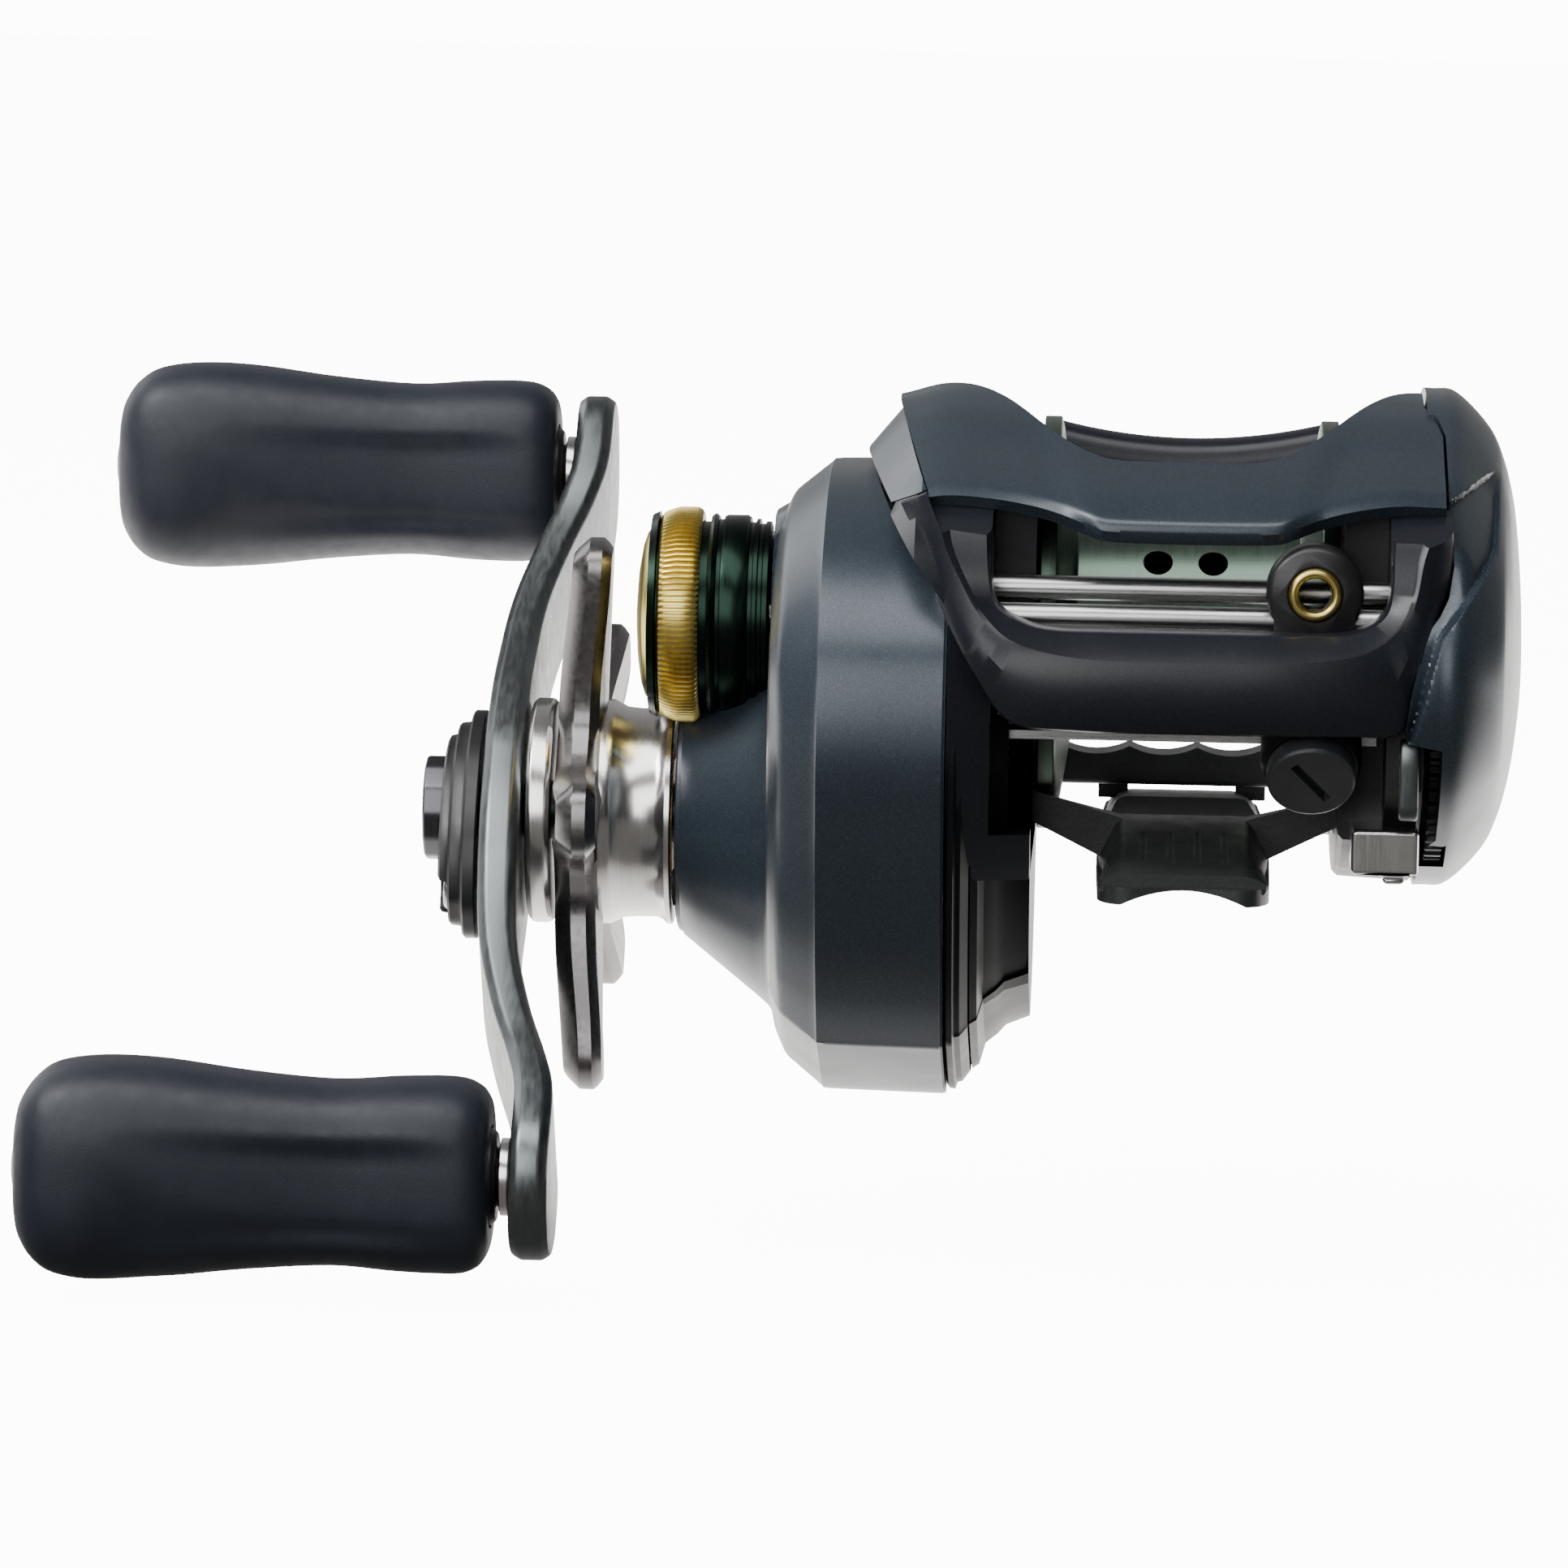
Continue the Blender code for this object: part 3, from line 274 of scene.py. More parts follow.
slots = {entry["node"]: entry["material_slot"] for entry in frame["record"]["subparts"]}
looks = {}


def as_object(name, mesh):
    """A mesh in millimetres as an object in the frame's metres."""
    mesh.transform(Matrix.Translation((0.0, 0.0, SPOOL_HEIGHT)))
    mesh.transform(Matrix.Scale(MM, 4))
    data = bpy.data.meshes.new(name)
    mesh.to_mesh(data)
    mesh.free()
    made = bpy.data.objects.new(name, data)
    bpy.context.scene.collection.objects.link(made)
    return made


def carve(target, operation, mesh):
    """Boolean the mesh into target at once and keep only the result."""
    helper = as_object("helper", mesh)
    modifier = target.modifiers.new("shape", "BOOLEAN")
    modifier.operation = operation
    modifier.object = helper
    modifier.solver = "MANIFOLD"
    bpy.context.view_layer.update()
    evaluated = target.evaluated_get(bpy.context.evaluated_depsgraph_get())
    result = bpy.data.meshes.new_from_object(evaluated)
    target.modifiers.remove(modifier)
    old = target.data
    target.data = result
    bpy.data.meshes.remove(old)
    bpy.data.objects.remove(helper)


def piece(name, mesh, look, body, *nodes, bevel=0.0, sharp=35.0, joins=(), keeps=(), cuts=()):
    """One visible piece: Booleans, shading, edges, look, the body it rides and the CAD nodes it replaces."""
    made = as_object(name, mesh)
    for operation, meshes in (("UNION", joins), ("INTERSECT", keeps), ("DIFFERENCE", cuts)):
        for other in meshes:
            carve(made, operation, other)
    made.data.shade_smooth()
    made.data.set_sharp_from_angle(angle=math.radians(sharp))
    made.data.materials.clear()
    made.data.materials.append(looks[look])
    if bevel:
        modifier = made.modifiers.new("edges", "BEVEL")
        modifier.width = bevel * MM
        modifier.segments = 3
        modifier.limit_method = "ANGLE"
        modifier.angle_limit = math.radians(sharp)
        modifier.harden_normals = True
    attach(made, body)
    if nodes:
        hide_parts(*nodes)


# ---------------------------------------------------------------- Materials

class Look:
    """A node material: one Principled shader with noise for colour, roughness and bump in object space."""

    def __init__(self, name, colour, metallic=0.0, roughness=0.4, **sockets):
        self.material = bpy.data.materials.new(name)
        self.material.use_nodes = True
        self.tree = self.material.node_tree
        self.shader = self.tree.nodes["Principled BSDF"]
        self.colour = (*colour, 1.0)
        self.roughness = roughness
        self.shader.inputs["Base Color"].default_value = self.colour
        self.shader.inputs["Metallic"].default_value = metallic
        self.shader.inputs["Roughness"].default_value = roughness
        for socket, value in sockets.items():
            self.shader.inputs[socket.replace("_", " ")].default_value = value
        self.place = self.tree.nodes.new("ShaderNodeTexCoord").outputs["Object"]
        self.height = None
        looks[name] = self.material

    def link(self, start, end):
        self.tree.links.new(start, end)

    def noise(self, size, stretch=(1.0, 1.0, 1.0), detail=2.0):
        """Noise whose features are about size millimetres across, drawn out along an axis by stretch."""
        mapping = self.tree.nodes.new("ShaderNodeMapping")
        mapping.inputs["Scale"].default_value = tuple(1.0 / (size * MM * s) for s in stretch)
        node = self.tree.nodes.new("ShaderNodeTexNoise")
        node.inputs["Scale"].default_value = 1.0
        node.inputs["Detail"].default_value = detail
        self.link(self.place, mapping.inputs["Vector"])
        self.link(mapping.outputs["Vector"], node.inputs["Vector"])
        return node.outputs["Fac"]

    def ramp(self, source, low, high, start, end):
        node = self.tree.nodes.new("ShaderNodeMapRange")
        node.inputs["From Min"].default_value = low
        node.inputs["From Max"].default_value = high
        node.inputs["To Min"].default_value = start
        node.inputs["To Max"].default_value = end
        self.link(source, node.inputs["Value"])
        return node.outputs["Result"]

    def tint(self, source, other, low=0.4, high=0.6):
        """Mixes the base colour with another where the noise is high."""
        mix = self.tree.nodes.new("ShaderNodeMix")
        mix.data_type = "RGBA"
        mix.inputs[6].default_value = self.colour
        mix.inputs[7].default_value = (*other, 1.0)
        self.link(self.ramp(source, low, high, 0.0, 1.0), mix.inputs[0])
        self.link(mix.outputs[2], self.shader.inputs["Base Color"])
        return self

    def rough(self, source, spread):
        self.link(
            self.ramp(source, 0.3, 0.7, self.roughness - spread, self.roughness + spread),
            self.shader.inputs["Roughness"],
        )
        return self

    def bump(self, source, depth):
        """Bump of this depth in millimetres. A second call adds to the first."""
        node = self.tree.nodes.new("ShaderNodeBump")
        node.inputs["Strength"].default_value = 1.0
        node.inputs["Distance"].default_value = depth * MM
        self.link(source, node.inputs["Height"])
        if self.height:
            self.link(self.height, node.inputs["Normal"])
        self.height = node.outputs["Normal"]
        self.link(self.height, self.shader.inputs["Normal"])
        return self


def satin_coat(name, colour, flake, roughness=0.38, metallic=0.35, clear=0.25, shine=0.5):
    """Metallic paint: fine flake under a thin clear coat, with a slight orange peel."""
    look = Look(
        name, colour, metallic, roughness, Coat_Weight=clear, Coat_Roughness=0.28, Specular_IOR_Level=shine,
    )
    look.tint(look.noise(0.12, detail=1.0), flake, 0.45, 0.75)
    look.rough(look.noise(6.0), 0.04)
    look.bump(look.noise(0.5, detail=3.0), 0.004)
    return look


def moulded(name, colour, roughness, fine=0.25, depth=0.01):
    """Moulded plastic with a fine texture."""
    look = Look(name, colour, 0.0, roughness)
    look.tint(look.noise(3.0), tuple(c * 1.35 for c in colour), 0.35, 0.75)
    look.rough(look.noise(2.0), 0.05)
    look.bump(look.noise(fine, detail=3.0), depth)
    return look


def machined(name, colour, roughness, stretch, depth=0.003, spread=0.06):
    """Bare or anodised metal with tool marks drawn out along one or two axes."""
    look = Look(name, colour, 1.0, roughness)
    grain = look.noise(0.08, stretch, detail=3.0)
    look.tint(grain, tuple(min(1.0, c * 1.12) for c in colour), 0.35, 0.7)
    look.rough(grain, spread)
    look.bump(grain, depth)
    return look


ROUND_X = (1.0, 40.0, 40.0)   # marks of a piece turned about X
ALONG_X = (60.0, 1.0, 1.0)    # marks of a bar drawn along X


def make_looks():
    satin_coat("body", (0.021, 0.031, 0.043), (0.043, 0.063, 0.084), clear=0.45)
    satin_coat("fascia", (0.007, 0.008, 0.012), (0.014, 0.017, 0.026), roughness=0.34, metallic=0.0,
        clear=0.2, shine=0.3)
    satin_coat("frame", (0.006, 0.007, 0.008), (0.012, 0.013, 0.016), roughness=0.36, metallic=0.0,
        clear=0.0, shine=0.12)
    moulded("foot", (0.016, 0.019, 0.018), 0.42, fine=0.35, depth=0.02)
    moulded("charcoal", (0.024, 0.026, 0.028), 0.45)
    moulded("black", (0.008, 0.008, 0.009), 0.38)
    moulded("gear_polymer", (0.035, 0.035, 0.035), 0.55)
    grip = Look("grip", (0.010, 0.013, 0.022), 0.0, 0.50, Specular_IOR_Level=0.45)
    grip.tint(grip.noise(5.0), (0.012, 0.016, 0.026), 0.35, 0.7)
    grip.rough(grip.noise(1.5), 0.05)
    grip.bump(grip.noise(0.18, detail=2.0), 0.012)
    machined("steel", (0.60, 0.60, 0.61), 0.24, ROUND_X)
    machined("drawn_steel", (0.50, 0.50, 0.50), 0.30, ALONG_X, depth=0.0008)
    machined("dark_steel", (0.10, 0.10, 0.11), 0.34, ROUND_X)
    machined("gun_metal", (0.20, 0.19, 0.19), 0.33, (6.0, 6.0, 6.0), depth=0.004)
    machined("chrome", (0.72, 0.70, 0.68), 0.22, ROUND_X, depth=0.001, spread=0.03)
    machined("arm", (0.16, 0.175, 0.178), 0.36, (4.0, 20.0, 20.0), depth=0.003)
    machined("brass", (0.60, 0.42, 0.16), 0.30, ROUND_X)
    machined("gold", (0.62, 0.50, 0.15), 0.30, ROUND_X, depth=0.0005, spread=0.02)
    machined("band", (0.012, 0.024, 0.018), 0.28, ROUND_X, depth=0.001)
    machined("spool", (0.10, 0.14, 0.11), 0.34, ROUND_X, depth=0.001)


NODE_LOOKS = {
    "brushed_steel": "steel", "brass": "brass", "matte_plastic": "gear_polymer", "chrome": "chrome",
    "painted_metal": "frame", "aluminium": "gun_metal", "gloss_plastic": "black", "rubber": "grip",
}


def coat_nodes():
    """Gives every CAD node a look by its material class, because those inside the reel stay shown."""
    classes = {entry["slot"]: entry["class"] for entry in frame["record"]["materials"]}
    for name, node in frame["nodes"].items():
        node.data.materials.clear()
        node.data.materials.append(looks[NODE_LOOKS[classes[slots[name]]]])
        node.data.shade_smooth()
        node.data.set_sharp_from_angle(angle=math.radians(35))


# ---------------------------------------------------------------- Handle

def handle_matrix():
    """Carries (x, along the arm, across the arm) to the reel."""
    c, s = math.cos(HANDLE_LEAN), math.sin(HANDLE_LEAN)
    return Matrix(((1, 0, 0, 0), (0, c, -s, DRIVE[0]), (0, s, c, DRIVE[1]), (0, 0, 0, 1)))


def on_handle(mesh):
    mesh.transform(handle_matrix())
    return mesh


def crank_arm():
    """The S-bent crank: a bar with chamfered edges whose middle bows away from the reel."""
    bow = [
        (0.0, -57.5), (12.0, -57.4), (20.0, -56.8), (27.0, -55.3), (33.0, -53.5), (38.0, -52.6), (48.2, -52.6),
    ]
    half_thick = [(0.0, 1.7), (20.0, 1.6), (33.0, 1.6), (48.2, 1.6)]
    half_wide = [
        (0.0, 9.4), (7.0, 8.6), (14.0, 6.8), (22.0, 5.9), (30.0, 5.8), (36.0, 6.6), (41.7, 7.1), (48.2, 7.1),
    ]
    reach = 48.2
    stations = [reach * math.sin(a) for a in np.linspace(-math.pi / 2, math.pi / 2, 97)]
    bow_curve = smooth(bow, 12, closed=False)
    wide_curve = smooth(half_wide, 12, closed=False)
    sections = []
    for s in stations:
        far = abs(s)
        middle = np.interp(far, bow_curve[:, 0], bow_curve[:, 1])
        wide = np.interp(far, wide_curve[:, 0], wide_curve[:, 1])
        thick = interpolate(far, half_thick)
        past = max(0.0, far - HANDLE_LENGTH) / (reach + 0.02 - HANDLE_LENGTH)
        wide *= math.sqrt(max(0.0, 1 - past ** 2))
        rim = min(1.0, 0.45 * thick, 0.9 * wide)
        corner = soften([
            (-thick, -wide + rim), (-thick, wide - rim), (-thick + rim, wide), (thick - rim, wide),
            (thick, wide - rim), (thick, -wide + rim), (thick - rim, -wide), (-thick + rim, -wide),
        ], 0.25, steps=2)
        sections.append([(middle + x, s, w) for x, w in corner])
    piece("crank", on_handle(loft(sections)), "arm", "handle", "handle_arm", sharp=28, cuts=[
        disc(-65.0, -50.0, 2.7, DRIVE),
    ])


def nut_cover():
    outline = smooth([
        (-8.6, 0.0), (-7.0, 4.9), (-2.0, 7.6), (3.0, 7.8), (9.0, 6.0), (12.6, 2.6), (13.2, 0.0), (12.6, -2.6),
        (9.0, -6.0), (3.0, -7.8), (-2.0, -7.6), (-7.0, -4.9),
    ], 6)
    steps = [
        (-59.45, 0.2), (-59.6, 0.0), (-60.5, 0.0), (-60.7, 0.2), (-60.75, 0.9), (-60.9, 1.0), (-61.7, 1.1),
        (-61.9, 1.3), (-61.95, 2.0), (-62.1, 2.1), (-62.6, 2.2), (-62.8, 2.5),
    ]
    spot = along(DRIVE, HANDLE_LEAN, 9.8)
    cover = on_handle(stepped(outline, steps))
    piece("nut_cover", cover, "black", "handle", "handle_nut_cover", sharp=28, cuts=[
        disc(-65.0, -55.0, 4.8, DRIVE), disc(-65.0, -61.0, 2.0, spot),
    ])
    head = turned([(-62.3, 0.0), (-62.3, 1.3), (-61.9, 1.6), (-61.1, 1.6), (-61.1, 0.0)], spot, 32, 0.15)
    piece("nut_cover_screw_head", head, "steel", "handle", "nut_cover_screw", cuts=[
        prism_x(circle(spot, 0.8, 6), -63.0, -61.6),
    ])
    nut = prism_x(soften(circle(DRIVE, 4.5, 12), 0.4), -64.6, -59.5, 0.35)
    piece("crank_nut", nut, "dark_steel", "handle", "handle_nut", sharp=25, cuts=[
        disc(-65.0, -63.9, 3.0, DRIVE),
    ])
    piece("shaft_end", turned([
        (-64.2, 0.0), (-64.2, 1.9), (-63.8, 2.2), (-54.0, 2.2), (-54.0, 2.5), (-15.3, 2.5), (-15.0, 2.2),
        (-15.0, 0.0),
    ], DRIVE, 40), "dark_steel", "handle", "drive_shaft")
    piece("crank_spacer", turned([
        (-55.5, 2.8), (-55.5, 9.2), (-55.1, 9.6), (-53.8, 9.6), (-53.4, 9.3), (-53.4, 2.8),
    ], DRIVE, 96, 0.15), "chrome", "handle", "handle_spacer")


def star():
    """Five-armed drag star: bevelled arms that lean towards the reel, on a silver ring."""
    outline = []
    for arm in range(5):
        middle = math.radians(102.7 + 72 * arm)
        for turn, reach in (
            (-36, 10.1), (-24, 10.6), (-16, 13.2), (-11.5, 17.0), (-9.0, 20.6), (-6.8, 23.2), (-3.2, 24.2),
            (3.2, 24.2), (6.8, 23.2), (9.0, 20.6), (11.5, 17.0), (16, 13.2), (24, 10.6),
        ):
            outline.append(along(DRIVE, middle + math.radians(turn), reach))
    outline = smooth(outline, 3)
    sections = []
    for x, depth in (
        (-49.5, 0.9), (-49.9, 0.35), (-50.3, 0.0), (-51.6, 0.0), (-51.8, 0.1), (-52.75, 1.0), (-53.0, 1.35),
    ):
        loop = inset(outline, depth)
        far = np.linalg.norm(loop - np.array(DRIVE), axis=1)
        thin = ease(far, 10.0, 24.0)
        shift = np.where(x < -51.0, 1.15 * thin, 0.95 * thin)
        sections.append(with_x(loop, x + shift))
    piece("star", loft(sections), "gun_metal", "star", "star_drag", sharp=24, cuts=[
        disc(-55.0, -45.0, 2.8, DRIVE),
    ])
    piece("star_collar", turned([
        (-49.6, 8.0), (-49.6, 9.3), (-49.3, 9.6), (-48.6, 9.6), (-48.2, 9.4), (-47.4, 9.0), (-46.2, 8.9),
        (-44.6, 8.9), (-44.1, 9.1), (-43.7, 9.5), (-43.3, 9.5), (-43.2, 9.3), (-43.2, 8.0),
    ], DRIVE, 96), "chrome", "star", "star_sleeve")


def knob_section(distance, tall, deep, hollow, count=96):
    """A rounded-square section scooped by hollow, whose lower front falls away under a slanting crease."""
    crease = tall * interpolate(distance, [
        (0.0, -0.42), (18.0, -0.38), (25.0, -0.18), (30.4, 0.16), (33.0, 0.5),
    ])
    fall = 0.20 * (1 - ease(distance, 27.0, 34.0)) * ease(distance, 0.5, 4.0)
    points = []
    for i in range(count):
        angle = 2 * math.pi * (i + 0.5) / count
        c, s = math.cos(angle), math.sin(angle)
        y = deep * math.copysign(abs(c) ** 0.66, c)
        z = tall * math.copysign(abs(s) ** 0.74, s)
        scoop = hollow * (1 - ease(abs(z + 0.10 * tall), 0.36 * tall, 0.66 * tall)) * (1 if c < 0 else 0.6)
        under = fall * max(0.0, crease - z) if c < 0 else 0.0
        points.append((-56.0 - distance, y - math.copysign(scoop, c) + under, z))
    return points


def knobs():
    stations = smooth([
        (0.0, 5.4, 4.8, 0.0), (0.25, 6.4, 5.5, 0.0), (1.1, 7.4, 6.3, 0.0), (3.0, 8.0, 6.8, 0.25),
        (7.5, 7.95, 6.8, 0.7), (13.0, 7.6, 6.5, 0.8), (20.0, 8.1, 6.8, 0.6), (27.0, 8.95, 7.3, 0.25),
        (32.0, 9.1, 7.5, 0.0), (35.6, 8.6, 7.2, 0.0), (37.4, 7.5, 6.4, 0.0), (38.5, 5.9, 5.2, 0.0),
        (38.85, 4.6, 4.2, 0.0),
    ], 5, closed=False)
    for name, side in (("lower", 1), ("upper", -1)):
        centre = along(DRIVE, HANDLE_LEAN, side * HANDLE_LENGTH)
        sections = [
            [(x, y + centre[0], z + centre[1]) for x, y, z in knob_section(*station)] for station in stations
        ]
        piece(f"{name}_paddle", loft(sections), "grip", f"{name}_knob", f"knob_{name}", sharp=40, cuts=[
            disc(x0, x1, radius, centre)
            for x0, x1, radius in ((-92.0, -50.0, 2.1), (-57.7, -50.0, 4.3), (-100.0, -93.6, 4.2))
        ])
        piece(f"{name}_end_cap", turned([
            (-95.4, 0.0), (-95.35, 1.5), (-95.0, 3.2), (-94.6, 3.9), (-94.0, 4.0), (-92.8, 3.7), (-92.8, 0.0),
        ], centre, 48), "black", f"{name}_knob", f"knob_cap_{name}")
        piece(f"{name}_bush", turned([
            (-57.4, 2.1), (-57.4, 4.0), (-55.9, 4.0), (-55.5, 3.6), (-55.5, 2.1),
        ], centre, 48, 0.1), "black", f"{name}_knob", f"knob_bush_{name}")
        piece(f"{name}_pin", turned([
            (-54.2, 0.0), (-54.2, 2.9), (-54.5, 3.2), (-55.2, 3.2), (-55.3, 2.6), (-55.9, 1.95),
            (-90.0, 1.95), (-90.0, 0.0),
        ], centre, 48, 0.08), "chrome", "handle", f"knob_shaft_{name}")


# ---------------------------------------------------------------- Spool, cast control and levelwind

def spool():
    drum = turned([
        (-12.3, 16.9), (-12.3, 17.4), (-10.9, 17.4), (-10.7, 16.6), (-9.6, 9.4), (-9.3, 8.6), (9.3, 8.6),
        (9.6, 9.4), (10.7, 16.6), (10.9, 17.4), (12.3, 17.4), (12.3, 16.9), (10.9, 8.2), (10.4, 7.6),
        (1.0, 7.6), (1.0, 1.8), (-1.0, 1.8), (-1.0, 7.6), (-10.4, 7.6), (-10.9, 8.2),
    ], SPOOL, FINE, 0.12)
    holes = [
        rod((x, 0, 0), (x, 20 * math.cos(a), 20 * math.sin(a)), 1.25, 24)
        for a in (math.radians(137 + 120 * k) for k in range(3)) for x in (-2.6, 2.0)
    ]
    piece("drum", drum, "spool", "spool_body", "spool", sharp=30, cuts=holes)


def cast_control():
    piece("cast_cup", turned([
        (-45.2, 0.0), (-45.2, 8.4), (-44.6, 8.7), (-44.5, 7.9), (-40.3, 7.9), (-40.2, 8.4), (-39.9, 8.6),
        (-39.6, 8.4), (-39.5, 8.1), (-39.2, 8.1), (-39.1, 8.4), (-38.8, 8.5), (-37.2, 8.5), (-36.9, 8.3),
        (-36.8, 7.9), (-36.5, 7.9), (-36.4, 8.2), (-36.1, 8.2), (-36.0, 7.8), (-35.7, 7.8), (-35.6, 8.0),
        (-35.2, 8.0), (-35.1, 7.6), (-35.0, 6.9), (-43.4, 6.9), (-43.4, 0.0),
    ], SPOOL, 96), "band", "tension", "tension_knob")
    teeth = 110
    loops = []
    for x, crest, root in (
        (-44.4, 8.35, 8.35), (-44.2, 8.62, 8.55), (-43.7, 8.85, 8.5), (-42.9, 9.1, 8.72), (-41.4, 9.1, 8.72),
        (-41.05, 8.9, 8.6), (-40.9, 8.6, 8.5), (-40.9, 8.0, 8.0), (-44.4, 8.0, 8.0),
    ):
        loop = []
        for tooth in range(teeth):
            for share, radius in ((-0.30, root), (-0.14, crest), (0.14, crest), (0.30, root)):
                angle = 2 * math.pi * (tooth + share) / teeth
                loop.append((x, radius * math.cos(angle), radius * math.sin(angle)))
        loops.append(loop)
    piece("knurled_ring", loft(loops, ring=True), "gold", "tension", "tension_grip_ring", sharp=30)
    piece("cast_cap", turned([
        (-46.4, 0.0), (-46.38, 2.0), (-46.2, 4.2), (-45.9, 6.0), (-45.6, 6.9), (-45.3, 7.25), (-45.0, 7.3),
        (-45.0, 0.0),
    ], SPOOL, 96), "gold", "tension", "tension_cap")


def rods():
    for name, centre, node in (("guide_bar", GUIDE_ROD, "guide_rod"), ("cross_bar", CROSS_ROD, "cross_rod")):
        piece(name, turned([
            (-16.8, 0.0), (-16.8, 1.0), (16.8, 1.0), (16.8, 0.0),
        ], centre, 40, 0.15), "drawn_steel", "frame_body", node)
    piece("worm_screw", turned([
        (-20.8, 0.0), (-20.8, 1.1), (-15.2, 1.1), (-15.2, 2.0), (15.2, 2.0), (15.2, 1.1), (17.6, 1.1),
        (17.6, 0.0),
    ], WORM, 40), "drawn_steel", "worm", "worm_shaft")
    opening = math.radians(54)
    angles = PAWL_SLOPE + opening + (2 * math.pi - 2 * opening) * np.arange(49) / 48
    guard = [along(WORM, a, 3.2) for a in angles] + [along(WORM, a, 2.5) for a in angles[::-1]]
    piece("worm_tube", prism_x(guard, -15.5, 15.5), "drawn_steel", "frame_body", "worm_guard")


def on_pawl(distance):
    y, z = along(WORM, PAWL_SLOPE, distance)
    return (EYELET[0], y, z)


def line_guide():
    """Carriage with its eyelet, and the slotted cap over the pawl."""
    x, _, height = EYELET
    side = 3.3
    face = [(0.0, 0.86), (0.06, 0.94), (0.14, 1.0), (0.9, 1.0), (1.0, 0.95)]
    boss = rod((x, -27.0, height), (x, -22.9, height), 3.95, 64, face)
    piece(
        "carriage", boss, "black", "carriage", "line_guide", bevel=0.12, sharp=40,
        joins=[
            block((x - side, -26.8, -4.4), (x + side, -22.9, height)),
            disc(x - side, x + side, 4.3, WORM),
            rod(on_pawl(1.0), on_pawl(7.4), 4.1, 64, ((0.0, 1.0), (0.9, 1.0), (1.0, 0.92))),
        ],
        cuts=[
            disc(-30.0, 30.0, 3.5, WORM),
            disc(-30.0, 30.0, 1.25, GUIDE_ROD),
            rod(on_pawl(0.0), on_pawl(12.0), 2.0),
            rod((x, -40.0, height), (x, -15.0, height), 1.45),
            rod((x, -40.0, height), (x, -26.2, height), 2.3, 48),
            disc(-30.0, 30.0, 18.0, SPOOL, 96),
        ],
    )
    ring = []
    for i in range(24):
        angle = 2 * math.pi * i / 24
        radius, y = 1.75 + 0.42 * math.cos(angle), -26.9 + 0.62 * math.sin(angle)
        ring.append([(x + radius * a, y, height + radius * b) for a, b in circle((0.0, 0.0), 1.0, 64)])
    piece("eyelet_ring", loft(ring, ring=True), "gold", "carriage", "line_eyelet", sharp=60)
    across = Vector((0.62, math.sin(PAWL_SLOPE) * -0.78, math.cos(PAWL_SLOPE) * 0.78))
    out = Vector((0.0, math.cos(PAWL_SLOPE), math.sin(PAWL_SLOPE)))
    middle = Vector(on_pawl(9.3))
    beside = across.cross(out)
    corners = ((-2.3, -0.36), (2.3, -0.36), (2.3, 0.36), (-2.3, 0.36))
    slot = loft([[middle + across * a + beside * b + out * lift for a, b in corners] for lift in (-1.0, 1.0)])
    button = rod(on_pawl(7.6), on_pawl(9.3), 3.6, 72, ((0.0, 1.0), (0.75, 1.0), (0.9, 0.985), (1.0, 0.93)))
    piece("slotted_cap", button, "charcoal", "carriage", "pawl_cap", bevel=0.06, sharp=40, cuts=[slot])


# ---------------------------------------------------------------- Palm side and clutch bar

def palm_side_parts():
    teeth = 44
    outline = []
    for tooth in range(teeth):
        for share, radius in ((-0.30, 8.75), (-0.12, 9.2), (0.12, 9.2), (0.30, 8.75)):
            outline.append(along(BRAKE, 2 * math.pi * (tooth + share) / teeth, radius))
    piece("ridged_dial", prism_x(outline, 19.8, 21.2, 0.12), "black", "dial", "brake_dial", sharp=30, cuts=[
        disc(10.0, 30.0, 1.5, BRAKE),
    ])
    lever_outline = soften([
        (-28.6, -5.9), (-29.0, -7.4), (-28.8, -12.0), (-27.9, -12.8), (-27.2, -12.2), (-26.4, -8.6),
        (-26.4, -6.1),
    ], 0.7)
    lever = prism_x(lever_outline, 17.2, 18.8, 0.3)
    piece("lock_bar", lever, "arm", "lock_lever", "palm_lock_lever", sharp=30, cuts=[
        disc(10.0, 30.0, 0.8, LOCK_PIVOT),
    ])
    piece("brake_plate", turned([
        (14.2, 17.5), (18.8, 17.5), (18.8, 16.2), (15.5, 16.2), (15.5, 6.2), (18.8, 6.2), (18.8, 5.2),
        (15.5, 5.2), (15.5, 1.9), (14.2, 1.9),
    ], SPOOL, 96, 0.2), "charcoal", "palm_cover", "brake_case")


def clutch_bar():
    """The thumb bar: a dished bar with raised ends."""
    side = soften([
        (18.9, 7.6), (18.5, 10.8), (19.1, 12.4), (20.6, 13.0), (24.2, 12.2), (26.2, 10.2), (26.0, 7.6),
        (24.0, 7.0),
    ], 0.7)
    sections = []
    for x in np.concatenate([[-12.0, -11.9, -11.6], np.linspace(-11.0, 11.0, 23), [11.6, 11.9, 12.0]]):
        lift = 1.2 + 1.4 * (x / 11.4) ** 2
        shrink = interpolate(abs(x), [(11.6, 0.0), (11.9, 0.12), (12.0, 0.35)])
        loop = inset(side, shrink)
        sections.append([(x, y, z + (lift if z > 10 else 0.0)) for y, z in loop])
    piece("thumb_rest", loft(sections), "fascia", "clutch_bar", "thumb_bar", sharp=40)


# ---------------------------------------------------------------- Shells

def smooth_max(a, b, blend):
    """The larger of two heights, with a fillet of about this size where they cross."""
    h = np.clip(0.5 + 0.5 * (a - b) / blend, 0.0, 1.0)
    return b * (1 - h) + a * h + blend * h * (1 - h)


